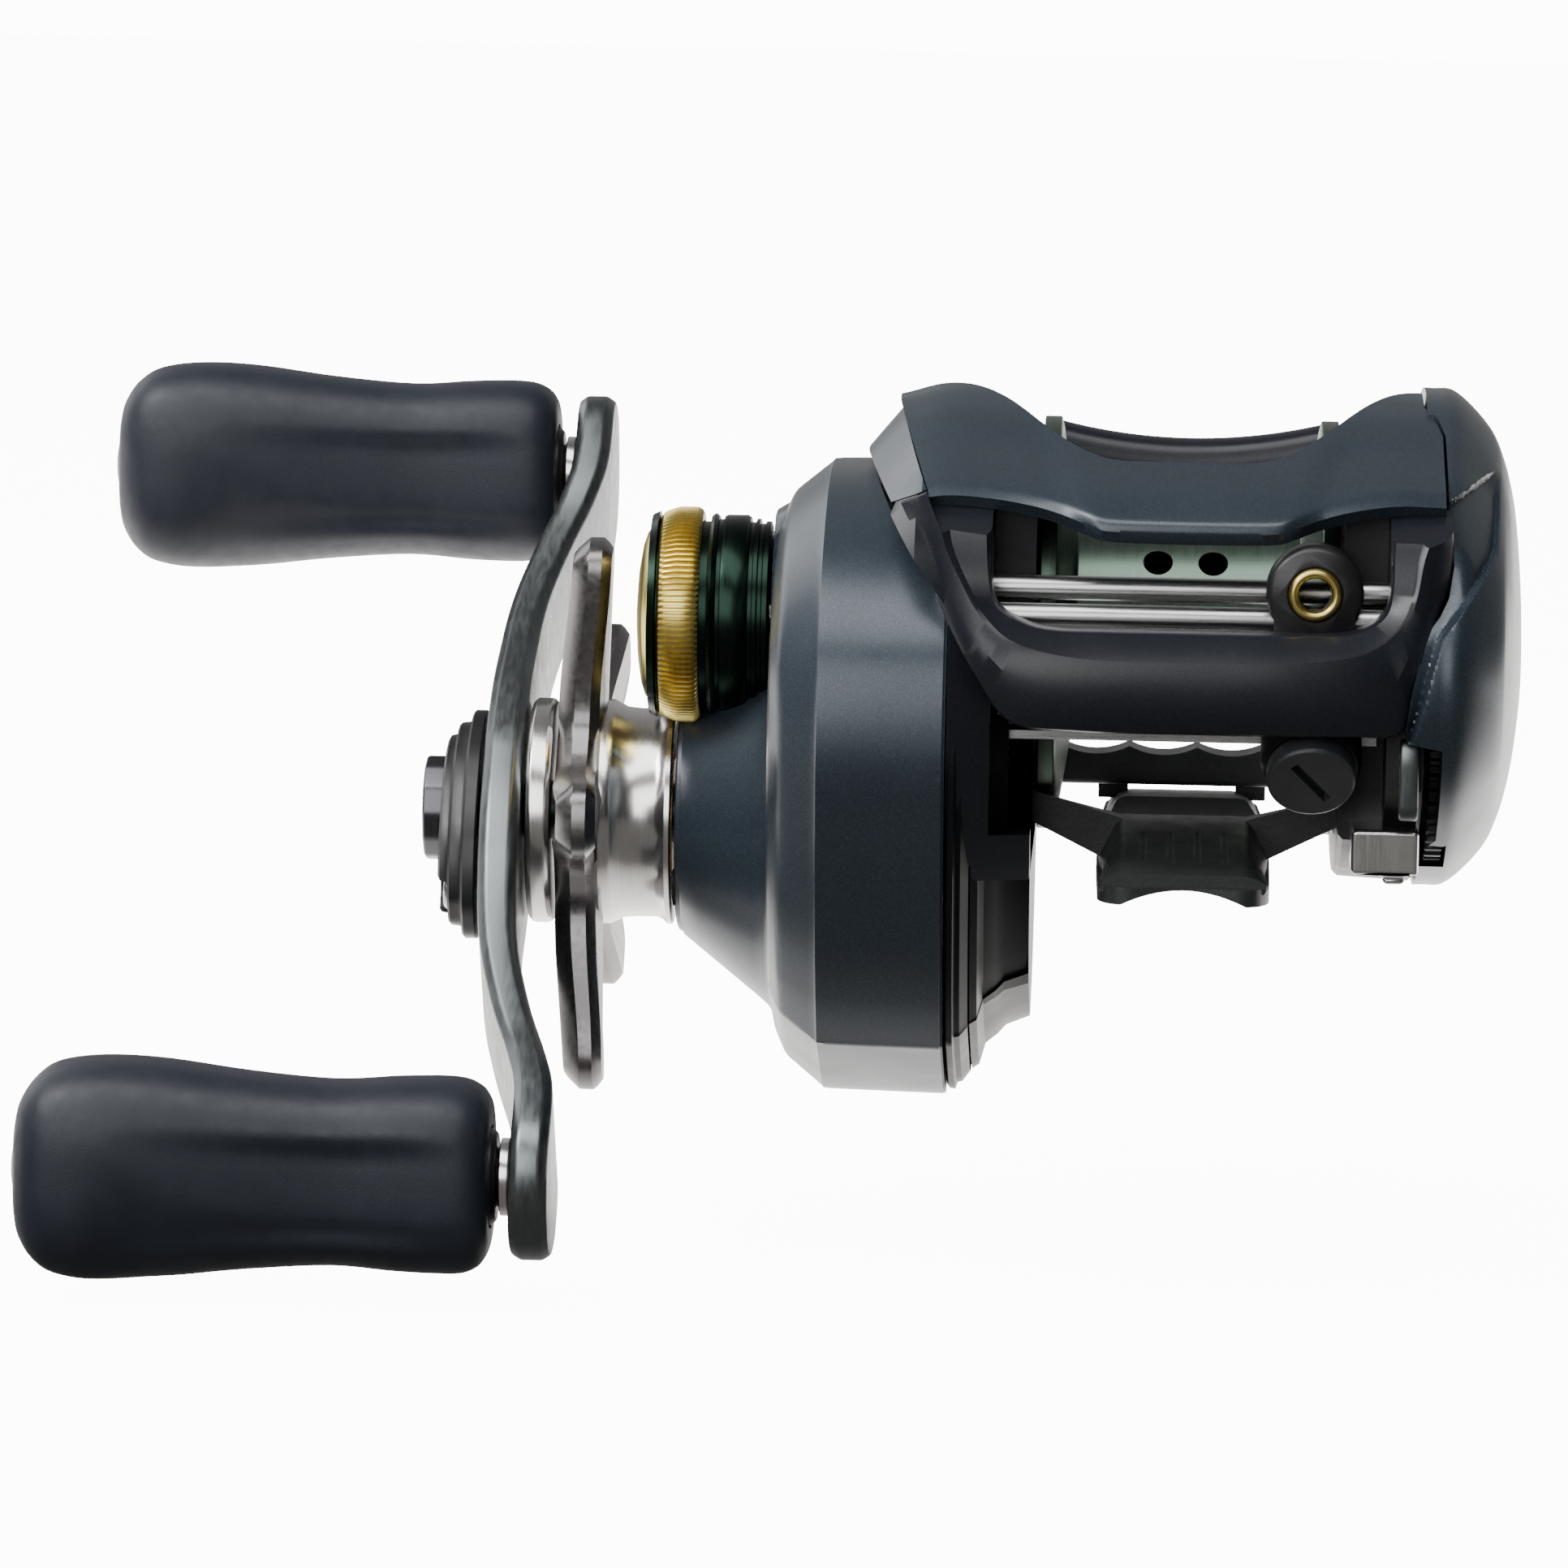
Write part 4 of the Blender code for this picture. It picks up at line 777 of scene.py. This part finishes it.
def gear_outline(steps):
    """The gear cover's outline, with a corner where its front wall turns under at the bottom."""
    front = GEAR_OUTLINE[:5] + [(-27.2, -14.5), (-24.0, -23.2), (-20.2, -29.6)]
    rest = GEAR_OUTLINE[9:] + front
    return smooth([CHIN, *rest, CHIN], steps, closed=False)[:-1]


def gear_cover():
    """Handle-side cover: wall, bevelled rim, flat face, and a cone round the drive shaft."""
    outline = gear_outline(14)
    drive = np.array(DRIVE)
    base_radius, tip_radius = 16.4, 9.9
    curve = soften([(0.0, -29.4), (0.3, -30.0), (3.0, -33.3), (5.2, -34.3), (40.0, -34.5)], 0.5, closed=False)

    def height(loop):
        gap = np.sqrt(((loop[:, None, :] - outline[None, :, :]) ** 2).sum(axis=2)).min(axis=1)
        face = -np.interp(gap, curve[:, 0], curve[:, 1])
        far = np.linalg.norm(loop - drive, axis=1)
        cone = 34.6 + (base_radius - far) * (BOSS_FACE + 34.6) / (tip_radius - base_radius)
        pad = np.where(np.linalg.norm(loop, axis=1) < 9.3, 34.75, 30.0)
        return -smooth_max(smooth_max(cone, face, 1.1), pad, 0.3)

    sections = [with_x(outline, x) for x in (GEAR_SEAM + 1.6, GEAR_SEAM + 0.1)]
    rim = ((GEAR_SEAM, 0.12), (GEAR_SEAM - 0.15, 0.0), (-25.0, 0.1), (-29.4, 0.2))
    sections += [with_x(inset(outline, depth), x) for x, depth in rim]
    inner = inset(outline, 5.2)
    for depth in (0.26, 0.3, 0.5, 0.9, 1.5, 2.1, 2.6, 2.9, 3.2, 3.6, 4.0, 4.6):
        loop = inset(outline, depth)
        sections.append(with_x(loop, height(loop)))
    angles = np.arctan2(inner[:, 1] - drive[1], inner[:, 0] - drive[0])
    base = drive + (base_radius + 1.0) * np.stack([np.cos(angles), np.sin(angles)], axis=1)
    for share in np.linspace(0.0, 1.0, 14):
        loop = inner * (1 - share) + base * share
        sections.append(with_x(loop, height(loop)))
    for radius in (16.8, 16.2, 15.4, 14.4, 13.0, 11.6, 10.4):
        loop = drive + (base - drive) * radius / (base_radius + 1.0)
        sections.append(with_x(loop, height(loop)))
    for x, radius in (
        (-42.35, 10.1), (-42.65, 9.95), (BOSS_FACE, 9.6), (BOSS_FACE, 5.6), (-42.4, 5.4), (-36.0, 5.4),
    ):
        sections.append(with_x(drive + (base - drive) * radius / (base_radius + 1.0), x))
    piece("gear_cover", loft(sections), "body", "frame_body", "gear_side_cover", bevel=0.12, sharp=30, keeps=[
        prism_y([
            (GEAR_SEAM + 0.1, -60), (GEAR_SEAM + 0.1, 3.6), (-24.5, 10.2), (-27.0, 14.2), (-27.2, 30),
            (-60, 30), (-60, -60),
        ], -FAR, FAR),
    ], cuts=[
        prism_x(inset(gear_outline(8), 2.2), -30.6, -10.0),
        turned([
            (-30.0, 0.0), (-30.0, 15.0), (-33.2, 13.4), (-33.6, 7.7), (-41.4, 7.7), (-41.4, 0.0),
        ], DRIVE, 64),
        disc(-40.2, -20.0, 4.9),
    ])


def bar_front(x, z):
    """Y of the front bar's face: it falls back towards both ends and above and below its middle."""
    return -32.2 + 3.6 * (abs(x) / 21.0) ** 4 + 0.32 * max(0.0, z) + 0.012 * min(0.0, z + 1.0) ** 2


# The dome's edge in front of the frame as (X, Z), from the bottom up.
PALM_FRONT_SEAM = [
    (19.4, -30.0), (19.4, -16.5), (20.6, -15.2), (20.6, -6.7), (17.7, -6.1), (17.6, -5.0), (17.9, -2.6),
    (18.3, -0.6), (18.8, 1.8), (19.4, 3.0), (20.2, 4.0), (20.9, 5.4), (21.3, 7.9), (20.95, 11.7),
    (20.85, 16.0), (20.8, 17.4), (20.3, 18.5), (19.4, 19.5), (19.4, 30.0),
]


def palm_cover():
    """Palm-side dome: in front a sunk cheek up to a crease, and a groove under the ridge above it."""
    outline = smooth(PALM_OUTLINE, 28)
    seam = interpolate(outline[:, 1], [(z, x) for x, z in PALM_FRONT_SEAM])
    rise = smooth([
        (0.0, 0.0), (0.30, 0.0), (0.50, 0.3), (0.76, 3.0), (0.88, 5.6), (0.96, 8.9), (1.0, 12.0),
    ], 20, closed=False)
    middle = np.array([-1.5, -0.5])
    parallel = 4.0  # loops deeper than this shrink towards the middle instead of following the outline
    sections = []
    for share, depth in rise:
        if depth < parallel:
            loop = inset(outline, depth)
        else:
            loop = middle + (inset(outline, parallel) - middle) * (1 - (depth - parallel) / 17.0)
        points = with_x(loop, PALM_START + (PALM_FACE - PALM_START) * share)
        crease = interpolate(points[:, 2], [
            (-6.5, 17.7), (-3.2, 18.6), (-0.8, 19.1), (2.5, 20.0), (4.7, 21.7), (7.0, 23.4), (8.8, 24.6),
            (11.1, 24.9), (13.3, 25.1), (14.5, 25.6), (21.0, 27.5),
        ])
        ridge = 12.4 + 0.46 * (points[:, 0] - 20.4)
        upper = ease(points[:, 2] - ridge, -0.3, 0.2)
        groove = 1.6 * np.exp(-np.maximum(0.0, ridge - points[:, 2]) / 3.4) * (1 - upper)
        sunk = np.array([max(0.0, bar_front(x0, z) - y) for x0, (y, z) in zip(seam, points[:, 1:])])
        across = np.clip((points[:, 0] - seam) / np.maximum(crease - seam, 0.5), 0.0, 1.0)
        before = 1 - ease(points[:, 0] - crease, -0.05, 0.4)
        cheek = before * (sunk * (1 - across) + 1.6 * across) * (1 - upper)
        front = 1 - ease(points[:, 1], -17.0, -9.0)
        tilt = 0.25 * np.maximum(0.0, points[:, 0] - 20.8)
        points[:, 1] += (cheek + groove + (0.35 + tilt) * upper) * front
        sections.append(points)
    centre = sections[-1].mean(axis=0)
    for share in (0.7, 0.4, 0.15):
        sections.append(centre + (sections[-1] - centre) * share)
    back = [
        with_x(inset(outline, depth), x) for x, depth in ((24.5, 6.0), (23.0, 3.4), (PALM_START, 3.0))
    ]
    dome = loft(back + sections)
    piece("palm_dome", dome, "body", "palm_cover", "palm_side_cover", bevel=0.15, sharp=32, cuts=[
        disc(15.0, 21.5, 9.7, BRAKE, 64),
        prism_y([(10.0, -30.0), *PALM_FRONT_SEAM, (10.0, 30.0)], -FAR, -9.0),
        block((10.0, -9.5, -30.0), (PALM_SEAM, FAR, 30.0)),
    ])


def hood():
    """The front hood: a curved roof over the line guide, scooped out over the spool."""
    top = smooth([
        (-29.0, 8.2), (-28.6, 9.4), (-27.2, 11.0), (-24.0, 12.9), (-17.0, 15.9), (-12.0, 17.9), (-8.0, 19.2),
        (-3.0, 20.3), (5.0, 20.4),
    ], 8, closed=False)
    upper_edge = smooth([
        (0.0, 15.3), (5.5, 15.35), (8.1, 15.9), (10.0, 16.7), (12.0, 17.8), (13.5, 18.7), (15.1, 19.5),
        (17.0, 20.1), (19.5, 20.35), (24.5, 20.4),
    ], 8, closed=False)
    lower_edge = smooth([
        (0.0, 10.2), (6.5, 10.3), (8.5, 10.75), (10.5, 11.4), (13.0, 12.0), (17.0, 12.5), (24.5, 12.9),
    ], 8, closed=False)
    columns = np.concatenate([
        np.linspace(-24.4, -15.0, 24), np.linspace(-14.8, 14.8, 60), np.linspace(15.0, 21.0, 16),
    ])
    across = 26
    sections = []
    for x in columns:
        far = abs(x)
        low = np.interp(far, lower_edge[:, 0], lower_edge[:, 1])
        high = min(np.interp(abs(x + 0.4), upper_edge[:, 0], upper_edge[:, 1]), 20.38)
        heights = low + (high - low) * np.linspace(0.0, 1.0, across)
        y = np.interp(heights, top[:, 1], top[:, 0])
        drop = 1.3 * ease(-x, 17.0, 25.5) ** 2 + 0.4 * ease(x, 16.0, 22.0)
        step = 0.8 * ease(far - 0.55 * (heights - low), 7.0, 10.5) * (1 - ease(heights, low + 3.5, low + 7.5))
        y = y + step
        lip = 0.75 * (1 - np.clip((heights - low) / 0.9, 0.0, 1.0))
        outer = np.stack([np.full(across, x), y + lip, heights - drop], axis=1)
        inner = np.stack([np.full(across, x), y + 1.5 - 0.2 * lip, heights - drop - 0.9], axis=1)[::-1]
        sections.append(np.concatenate([outer, inner]))
    piece("hood_shell", loft(sections), "body", "frame_body", "hood", bevel=0.15, sharp=38, keeps=[
        prism_y([
            (-25.2, 21.5), (-24.3, 18.8), (-21.5, 12.9), (-20.9, 10.0), (-20.9, 6.0), (20.6, 6.0),
            (20.65, 12.0), (20.6, 17.3), (20.1, 18.3), (19.2, 19.3), (19.0, 21.5),
        ], -FAR, FAR),
    ])


def shoulder_loft(stations):
    return stepped(smooth(SHOULDER_OUTLINE, 8), stations)


def fascia():
    """The front of the frame: bar and two posts round the window, with a bevel along the window."""
    # Each station: window edge, crease and outer edge as (X, Z).
    stations = [
        ((-16.1, 15.5), (-20.6, 15.5), (-25.2, 15.5)),
        ((-16.1, 12.0), (-20.2, 12.4), (-24.0, 12.4)),
        ((-16.1, 9.0), (-19.7, 9.0), (-22.4, 9.3)),
        ((-15.95, 5.7), (-18.2, 6.0), (-20.9, 5.8)),
        ((-15.3, 4.0), (-16.7, 3.7), (-19.6, 2.6)),
        ((-13.1, 2.85), (-14.6, 1.8), (-17.2, -1.4)),
        ((-10.8, 2.45), (-11.4, 0.8), (-14.3, -5.0)),
        ((-7.0, 2.4), (-7.0, 0.35), (-9.0, -5.6)),
        ((0.0, 2.4), (0.0, 0.3), (0.0, -5.65)),
        ((7.0, 2.4), (7.0, 0.35), (8.0, -5.65)),
        ((11.0, 2.45), (11.6, 0.7), (13.6, -5.65)),
        ((13.6, 2.8), (14.6, 1.4), (17.2, -5.3)),
        ((15.6, 4.0), (16.9, 3.1), (18.2, -1.6)),
        ((16.15, 5.8), (18.0, 5.4), (19.9, 3.4)),
        ((16.2, 8.8), (18.6, 8.6), (21.2, 7.6)),
        ((16.2, 12.0), (19.8, 12.0), (21.2, 11.8)),
        ((16.2, 15.5), (19.9, 15.5), (21.2, 15.5)),
    ]

    curve = smooth([[*inner, *crease, *outer] for inner, crease, outer in stations], 8, closed=False)
    sections = []
    for ix, iz, cx, cz, ox, oz in curve:
        middle = ((cx + ox) / 2, (cz + oz) / 2)
        profile = [
            (ix, bar_front(ix, iz) + 5.0, iz), (ix, bar_front(ix, iz) + 2.6, iz),
            (ix * 0.97 + cx * 0.03, bar_front(ix, iz) + 1.9, iz * 0.97 + cz * 0.03),
            (ix * 0.88 + cx * 0.12, bar_front(ix, iz) + 1.45, iz * 0.88 + cz * 0.12),
            (ix * 0.1 + cx * 0.9, bar_front(cx, cz) + 0.28, iz * 0.1 + cz * 0.9),
            (cx, bar_front(cx, cz) + 0.05, cz),
            (cx * 0.9 + ox * 0.1, bar_front(cx, cz) - 0.12, cz * 0.9 + oz * 0.1),
            (middle[0], bar_front(*middle) - 0.25, middle[1]),
            (cx * 0.12 + ox * 0.88, bar_front(ox, oz) + 0.0, cz * 0.12 + oz * 0.88),
            (cx * 0.03 + ox * 0.97, bar_front(ox, oz) + 0.35, cz * 0.03 + oz * 0.97),
            (ox, bar_front(ox, oz) + 0.9, oz), (ox, bar_front(ox, oz) + 3.4, oz),
            (ix * 0.5 + ox * 0.5, bar_front(ix, iz) + 5.0, iz * 0.5 + oz * 0.5),
        ]
        sections.append(profile)
    return loft(sections)


def under_hood():
    """The space that the hood's shell and everything above it take."""
    space = [
        (-29.3, 7.9), (-40.0, 12.0), (-40.0, 40.0), (5.4, 40.0), (5.4, 18.6), (-4.0, 18.4), (-12.0, 15.9),
        (-17.0, 13.9), (-24.0, 11.0), (-27.2, 9.3), (-28.2, 7.8),
    ]
    return loft([
        [(-21.5 - (z - 12.9) * 0.48 - 0.12, y, z) for y, z in space],
        [(22.0, y, z) for y, z in space],
    ])


def above_walls():
    """The space above the side walls, which slope down to the spool's mouth."""
    return prism_y([
        (-60, 18.0), (-24.0, 18.9), (-20.5, 18.9), (-19.6, 17.4), (-16.0, 16.5), (-12.0, 14.6), (12.0, 14.6),
        (16.0, 16.5), (20.0, 17.4), (60, 17.4), (60, 40), (-60, 40),
    ], -FAR, FAR)


def cover_room():
    """The room inside the gear cover."""
    return prism_x(inset(gear_outline(8), 2.0), -40.0, -17.4)


def spool_room():
    return disc(-12.55, 12.55, DRUM_ROOM, SPOOL, FINE)


def wall_cuts(start, end):
    """What every wall leaves free: the spool's rim and drum, the mouth above them, and the hood."""
    return [disc(start, end, RIM_ROOM, SPOOL, FINE), spool_room(), above_walls(), under_hood()]


def frame_shell():
    """The casting behind the bar: side walls, flange, and the post and shoulder on the handle side."""
    casting = stepped(gear_outline(8), [
        (-19.5, 0.9), (-19.3, 0.5), (-18.8, 0.4), (-18.6, 1.0), (-18.2, 1.1), (-17.4, 2.2), (-16.8, 2.6),
        (-16.3, 4.4), (-15.3, 5.2), (-14.6, 6.0), (-12.6, 6.8),
    ])
    piece("casting", casting, "frame", "frame_body", "frame", bevel=0.12, sharp=32, cuts=[
        cover_room(), *wall_cuts(-13.45, 0.0),
        block((-15.9, -40.0, -5.6), (-10.0, -18.4, 30.0)), block((-14.5, -40.0, -15.0), (-10.0, -18.4, 30.0)),
        disc(-18.0, -10.0, 7.7), disc(-20.0, -14.0, 4.2, DRIVE), disc(-40.0, -17.4, 5.6, WORM),
        disc(-14.2, -10.0, 4.7, WORM),
    ])

    post = shoulder_loft([
        (-27.4, 6.2), (-26.4, 5.0), (-22.4, 0.2), (-20.2, 0.8), (-16.0, 2.2), (-12.6, 3.2),
    ])
    piece("handle_side_post", post, "fascia", "frame_body", bevel=0.12, sharp=32, keeps=[
        prism_y([
            (-24.6, 10.6), (-24.2, 11.6), (-21.4, 12.9), (-12.0, 12.9), (-12.0, -19.0), (-19.5, -19.0),
            (-19.5, 3.7),
        ], -FAR, FAR),
    ], cuts=[
        cover_room(), *wall_cuts(-13.45, 0.0),
        block((-16.0, -40.0, -15.0), (-10.0, -18.4, 30.0)), disc(-14.2, -10.0, 4.7, WORM),
    ])

    shoulder = shoulder_loft([
        (-27.4, 6.2), (-26.4, 5.0), (-22.4, 0.2), (-22.0, -0.1), (-17.4, -0.1), (-14.6, 1.6), (-12.6, 2.2),
    ])
    piece("shoulder", shoulder, "body", "frame_body", bevel=0.2, sharp=32, keeps=[
        prism_y([
            (-24.6, 11.5), (-27.0, 14.6), (-27.0, 30.0), (-12.0, 30.0), (-12.0, 13.0), (-21.4, 13.0),
        ], -FAR, FAR),
    ], cuts=[
        cover_room(), *wall_cuts(-13.45, 0.0),
        block((-16.0, -40.0, -15.0), (-10.0, -18.4, 30.0)),
    ])

    palm_wall = loft([
        with_x(inset(smooth(PALM_OUTLINE, 8), depth), x)
        for x, depth in ((12.6, 1.0), (13.0, 0.6), (18.9, 0.3), (19.2, 0.6))
    ])
    piece("palm_wall", palm_wall, "black", "frame_body", bevel=0.12, sharp=32, cuts=[
        *wall_cuts(13.4, 30.0),
        block((12.0, -33.2, -15.6), (16.2, -18.4, 30.0)),
        block((12.0, -33.2, -30.0), (25.0, -26.5, 30.0)),
    ])
    above_seam = prism_y([
        (-40.0, 10.0), (-24.8, 10.4), (-24.2, 11.5), (-21.4, 12.9), (-21.4, 40.0), (-40.0, 40.0),
    ], -FAR, FAR)
    piece("window_bar", fascia(), "fascia", "frame_body", sharp=26, cuts=[under_hood(), above_seam])


def foot():
    """Foot plate with its ribbed front prong, the struts up to the side walls, and the rear bar."""
    plan = soften([
        (-7.2, -11.0), (-7.0, -26.0), (-5.6, -28.3), (0.0, -27.4), (5.6, -28.3), (7.0, -26.0), (7.2, -11.0),
        (7.2, 12.0), (6.6, 28.0), (4.4, 32.5), (0.0, 33.4), (-4.4, 32.5), (-6.6, 28.0), (-7.2, 12.0),
    ], 1.6)
    crown = loft([
        [(x * wide, y, z) for x, z in soften([
            (-5.4, -15.2 + drop), (5.4, -15.2 + drop), (7.0, -18.2), (6.9, -19.2), (-6.9, -19.2),
            (-7.0, -18.2),
        ], 0.7)]
        for y, drop, wide in (
            (-26.9, -2.4, 0.97), (-26.4, -2.1, 1.0), (-20.0, -0.9, 0.96), (-14.0, 0.2, 1.0),
            (-8.0, 0.4, 1.02), (10.0, -0.6, 1.0), (28.6, -2.4, 0.9),
        )
    ])
    struts = [
        prism_y(soften([
            (side * 4.8, -15.0), (side * 15.5, -11.9), (side * 15.5, -13.9), (side * 6.4, -18.4),
        ], 0.5), -12.5, -7.5)
        for side in (-1, 1)
    ]
    ribs = [rod((x, -24.6, -16.5), (x, -16.6, -14.95), 0.6, 16) for x in (-3.3, -1.1, 1.1, 3.3)]
    saddle = prism_y(circle((0.0, -30.2), 11.4, 96), -FAR, FAR)
    plate = prism_z(plan, -SPOOL_HEIGHT, -18.6)
    piece("reel_foot", plate, "foot", "frame_body", bevel=0.3, sharp=30, joins=[crown, *struts], cuts=[
        spool_room(), saddle, *ribs,
    ])
    section = soften([(22.5, -12.6), (27.2, -12.2), (26.8, -15.6), (22.5, -16.6)], 0.6)
    piece("rear_bar", prism_x(section, -16.0, 16.0), "foot", "frame_body", bevel=0.15, sharp=30, joins=[
        block((x - 1.3, 25.2, -18.0), (x + 1.3, 26.6, -14.0)) for x in (-6.0, 6.0)
    ], cuts=[
        prism_y(circle((x, -7.3), 6.5, 64), 20.0, 30.0) for x in (-7.6, -1.7, 4.2)
    ])
    lug = block((13.6, -24.5, -17.6), (19.1, -13.0, -13.9))
    piece("palm_lug", lug, "chrome", "frame_body", bevel=0.4, sharp=30, joins=[
        block((16.2, -24.2, -18.4), (18.0, -22.0, -16.0)),
    ])


def cover_screws():
    """The three screws that hold the gear cover, sunk behind its face."""
    for index, spot in enumerate(COVER_SCREWS, 1):
        screw = turned([
            (-30.0, 0.0), (-30.0, 1.5), (-29.2, 1.5), (-29.2, 0.9), (-17.0, 0.9), (-17.0, 0.0),
        ], spot, 32)
        slot = block((-30.5, spot[0] - 1.1, spot[1] - 0.25), (-29.6, spot[0] + 1.1, spot[1] + 0.25))
        piece(f"cover_bolt_{index}", screw, "dark_steel", "frame_body", f"cover_screw_{index}", sharp=30,
              cuts=[slot])


# ---------------------------------------------------------------- Stage

PAPER_GLOW, BACKDROP = 12.0, 16.0   # strengths that the camera sees
PAPER_BOUNCE = 3.4                  # painted bounce glow of the paper behind the reel, in reflections
TENT_FRONT, TENT_BACK = 0.50, 7.5   # the tent's strength in front, and how much more it has behind
TENT_FALL = 2.5                     # how fast it falls from the back to the front


def lit_for_camera(tree, seen, unseen, output):
    """Joins two shaders so that the camera sees one and every other ray meets the other."""
    path = tree.nodes.new("ShaderNodeLightPath")
    mix = tree.nodes.new("ShaderNodeMixShader")
    tree.links.new(path.outputs["Is Camera Ray"], mix.inputs["Fac"])
    tree.links.new(unseen.outputs[0], mix.inputs[1])
    tree.links.new(seen.outputs[0], mix.inputs[2])
    tree.links.new(mix.outputs[0], output.inputs["Surface"])


def floor():
    """A sheet of white paper just below the lower knob. It glows, so it hardly takes a shadow."""
    paper = bpy.data.materials.new("paper")
    paper.use_nodes = True
    tree = paper.node_tree
    shader = tree.nodes["Principled BSDF"]
    shader.inputs["Base Color"].default_value = (0.90, 0.89, 0.88, 1.0)
    shader.inputs["Roughness"].default_value = 0.9
    glow = tree.nodes.new("ShaderNodeEmission")
    glow.inputs["Color"].default_value = (1.0, 0.985, 0.97, 1.0)
    glow.inputs["Strength"].default_value = PAPER_GLOW
    both = tree.nodes.new("ShaderNodeAddShader")
    tree.links.new(glow.outputs[0], both.inputs[0])
    tree.links.new(shader.outputs[0], both.inputs[1])
    # Painted light: other rays see the paper glow as painted bounce light, bright behind the reel, falling to
    # a painted shadow under and in front of it.
    painted_bounce = tree.nodes.new("ShaderNodeEmission")
    painted_bounce.inputs["Color"].default_value = (1.0, 0.97, 0.94, 1.0)
    place = tree.nodes.new("ShaderNodeSeparateXYZ")
    tree.links.new(tree.nodes.new("ShaderNodeTexCoord").outputs["Object"], place.inputs[0])
    fall = tree.nodes.new("ShaderNodeMapRange")
    for socket, value in (
        ("From Min", -0.03), ("From Max", 0.04), ("To Min", 0.15), ("To Max", PAPER_BOUNCE),
    ):
        fall.inputs[socket].default_value = value
    tree.links.new(place.outputs["Y"], fall.inputs["Value"])
    tree.links.new(fall.outputs["Result"], painted_bounce.inputs["Strength"])
    lit_for_camera(tree, both, painted_bounce, tree.nodes["Material Output"])
    data = bpy.data.meshes.new("floor")
    size, level = 3.0, -0.0345
    corners = [(-size, -size, level), (size, -size, level), (size, size, level), (-size, size, level)]
    data.from_pydata(corners, [], [(0, 1, 2, 3)])
    data.materials.append(paper)
    sheet = bpy.data.objects.new("floor", data)
    bpy.context.scene.collection.objects.link(sheet)


def world():
    """A white tent that is open, and so dark, towards the camera."""
    made = bpy.data.worlds.new("tent")
    made.use_nodes = True
    bpy.context.scene.world = made
    tree = made.node_tree
    tent = tree.nodes["Background"]
    coordinates = tree.nodes.new("ShaderNodeTexCoord")
    split = tree.nodes.new("ShaderNodeSeparateXYZ")
    tree.links.new(coordinates.outputs["Generated"], split.inputs[0])
    behind = split.outputs["Y"]
    for operation, number, added in (
        ("MULTIPLY_ADD", 0.5, 0.5), ("POWER", TENT_FALL, 0.0), ("MULTIPLY_ADD", TENT_BACK, TENT_FRONT),
    ):
        step = tree.nodes.new("ShaderNodeMath")
        step.operation = operation
        step.inputs[1].default_value = number
        step.inputs[2].default_value = added
        tree.links.new(behind, step.inputs[0])
        behind = step.outputs[0]
    tree.links.new(behind, tent.inputs["Strength"])
    backdrop = tree.nodes.new("ShaderNodeBackground")
    backdrop.inputs["Strength"].default_value = BACKDROP
    lit_for_camera(tree, backdrop, tent, tree.nodes["World Output"])


def area_light(name, place, target, size, power):
    data = bpy.data.lights.new(name, "AREA")
    data.shape = "RECTANGLE"
    data.size, data.size_y = size
    data.energy = power
    made = bpy.data.objects.new(name, data)
    made.location = place
    made.rotation_mode = "QUATERNION"
    made.rotation_quaternion = (Vector(target) - Vector(place)).to_track_quat("-Z", "Y")
    bpy.context.scene.collection.objects.link(made)


def camera():
    """A long lens in front of the reel and 6 degrees above it, turned a little to the handle side."""
    distance, rise = 0.675, math.radians(6.0)
    down, yaw, roll = math.radians(7.196), math.radians(-2.52), math.radians(0.98)
    ahead = Vector((math.sin(yaw) * math.cos(down), math.cos(yaw) * math.cos(down), -math.sin(down)))
    right = Vector((math.cos(yaw), -math.sin(yaw), 0.0))
    up = right.cross(ahead)
    rolled_right = right * math.cos(roll) + up * math.sin(roll)
    rolled_up = up * math.cos(roll) - right * math.sin(roll)
    data = bpy.data.cameras.new("camera")
    data.sensor_width, data.lens = 36.0, 183.6
    made = bpy.data.objects.new("camera", data)
    made.rotation_mode = "QUATERNION"
    made.rotation_quaternion = Matrix((rolled_right, rolled_up, -ahead)).transposed().to_quaternion()
    made.location = (-0.00425, -distance * math.cos(rise), distance * math.sin(rise) + SPOOL_HEIGHT * MM)
    bpy.context.scene.collection.objects.link(made)
    bpy.context.scene.camera = made


def lights():
    """Four soft boxes: in front, behind on the handle side, above, and above the handle."""
    area_light("front_softbox", (-0.35, -0.80, 0.30), (0.0, 0.0, 0.0), (0.8, 0.5), 5.0)
    area_light("back_softbox", (-0.55, 0.50, 0.32), (0.0, 0.0, 0.0), (0.5, 0.5), 1.6)
    area_light("top_softbox", (-0.15, -0.30, 0.75), (0.0, 0.0, 0.0), (0.9, 0.45), 6.0)
    area_light("left_softbox", (-0.60, -0.25, 0.60), (0.0, 0.0, 0.0), (0.35, 0.35), 5.0)


def main():
    make_looks()
    coat_nodes()
    for build in (
        gear_cover, palm_cover, hood, frame_shell, foot, crank_arm, nut_cover, star, knobs, spool,
        cast_control, rods, line_guide, palm_side_parts, clutch_bar, cover_screws,
        floor, world, camera, lights,
    ):
        build()


main()
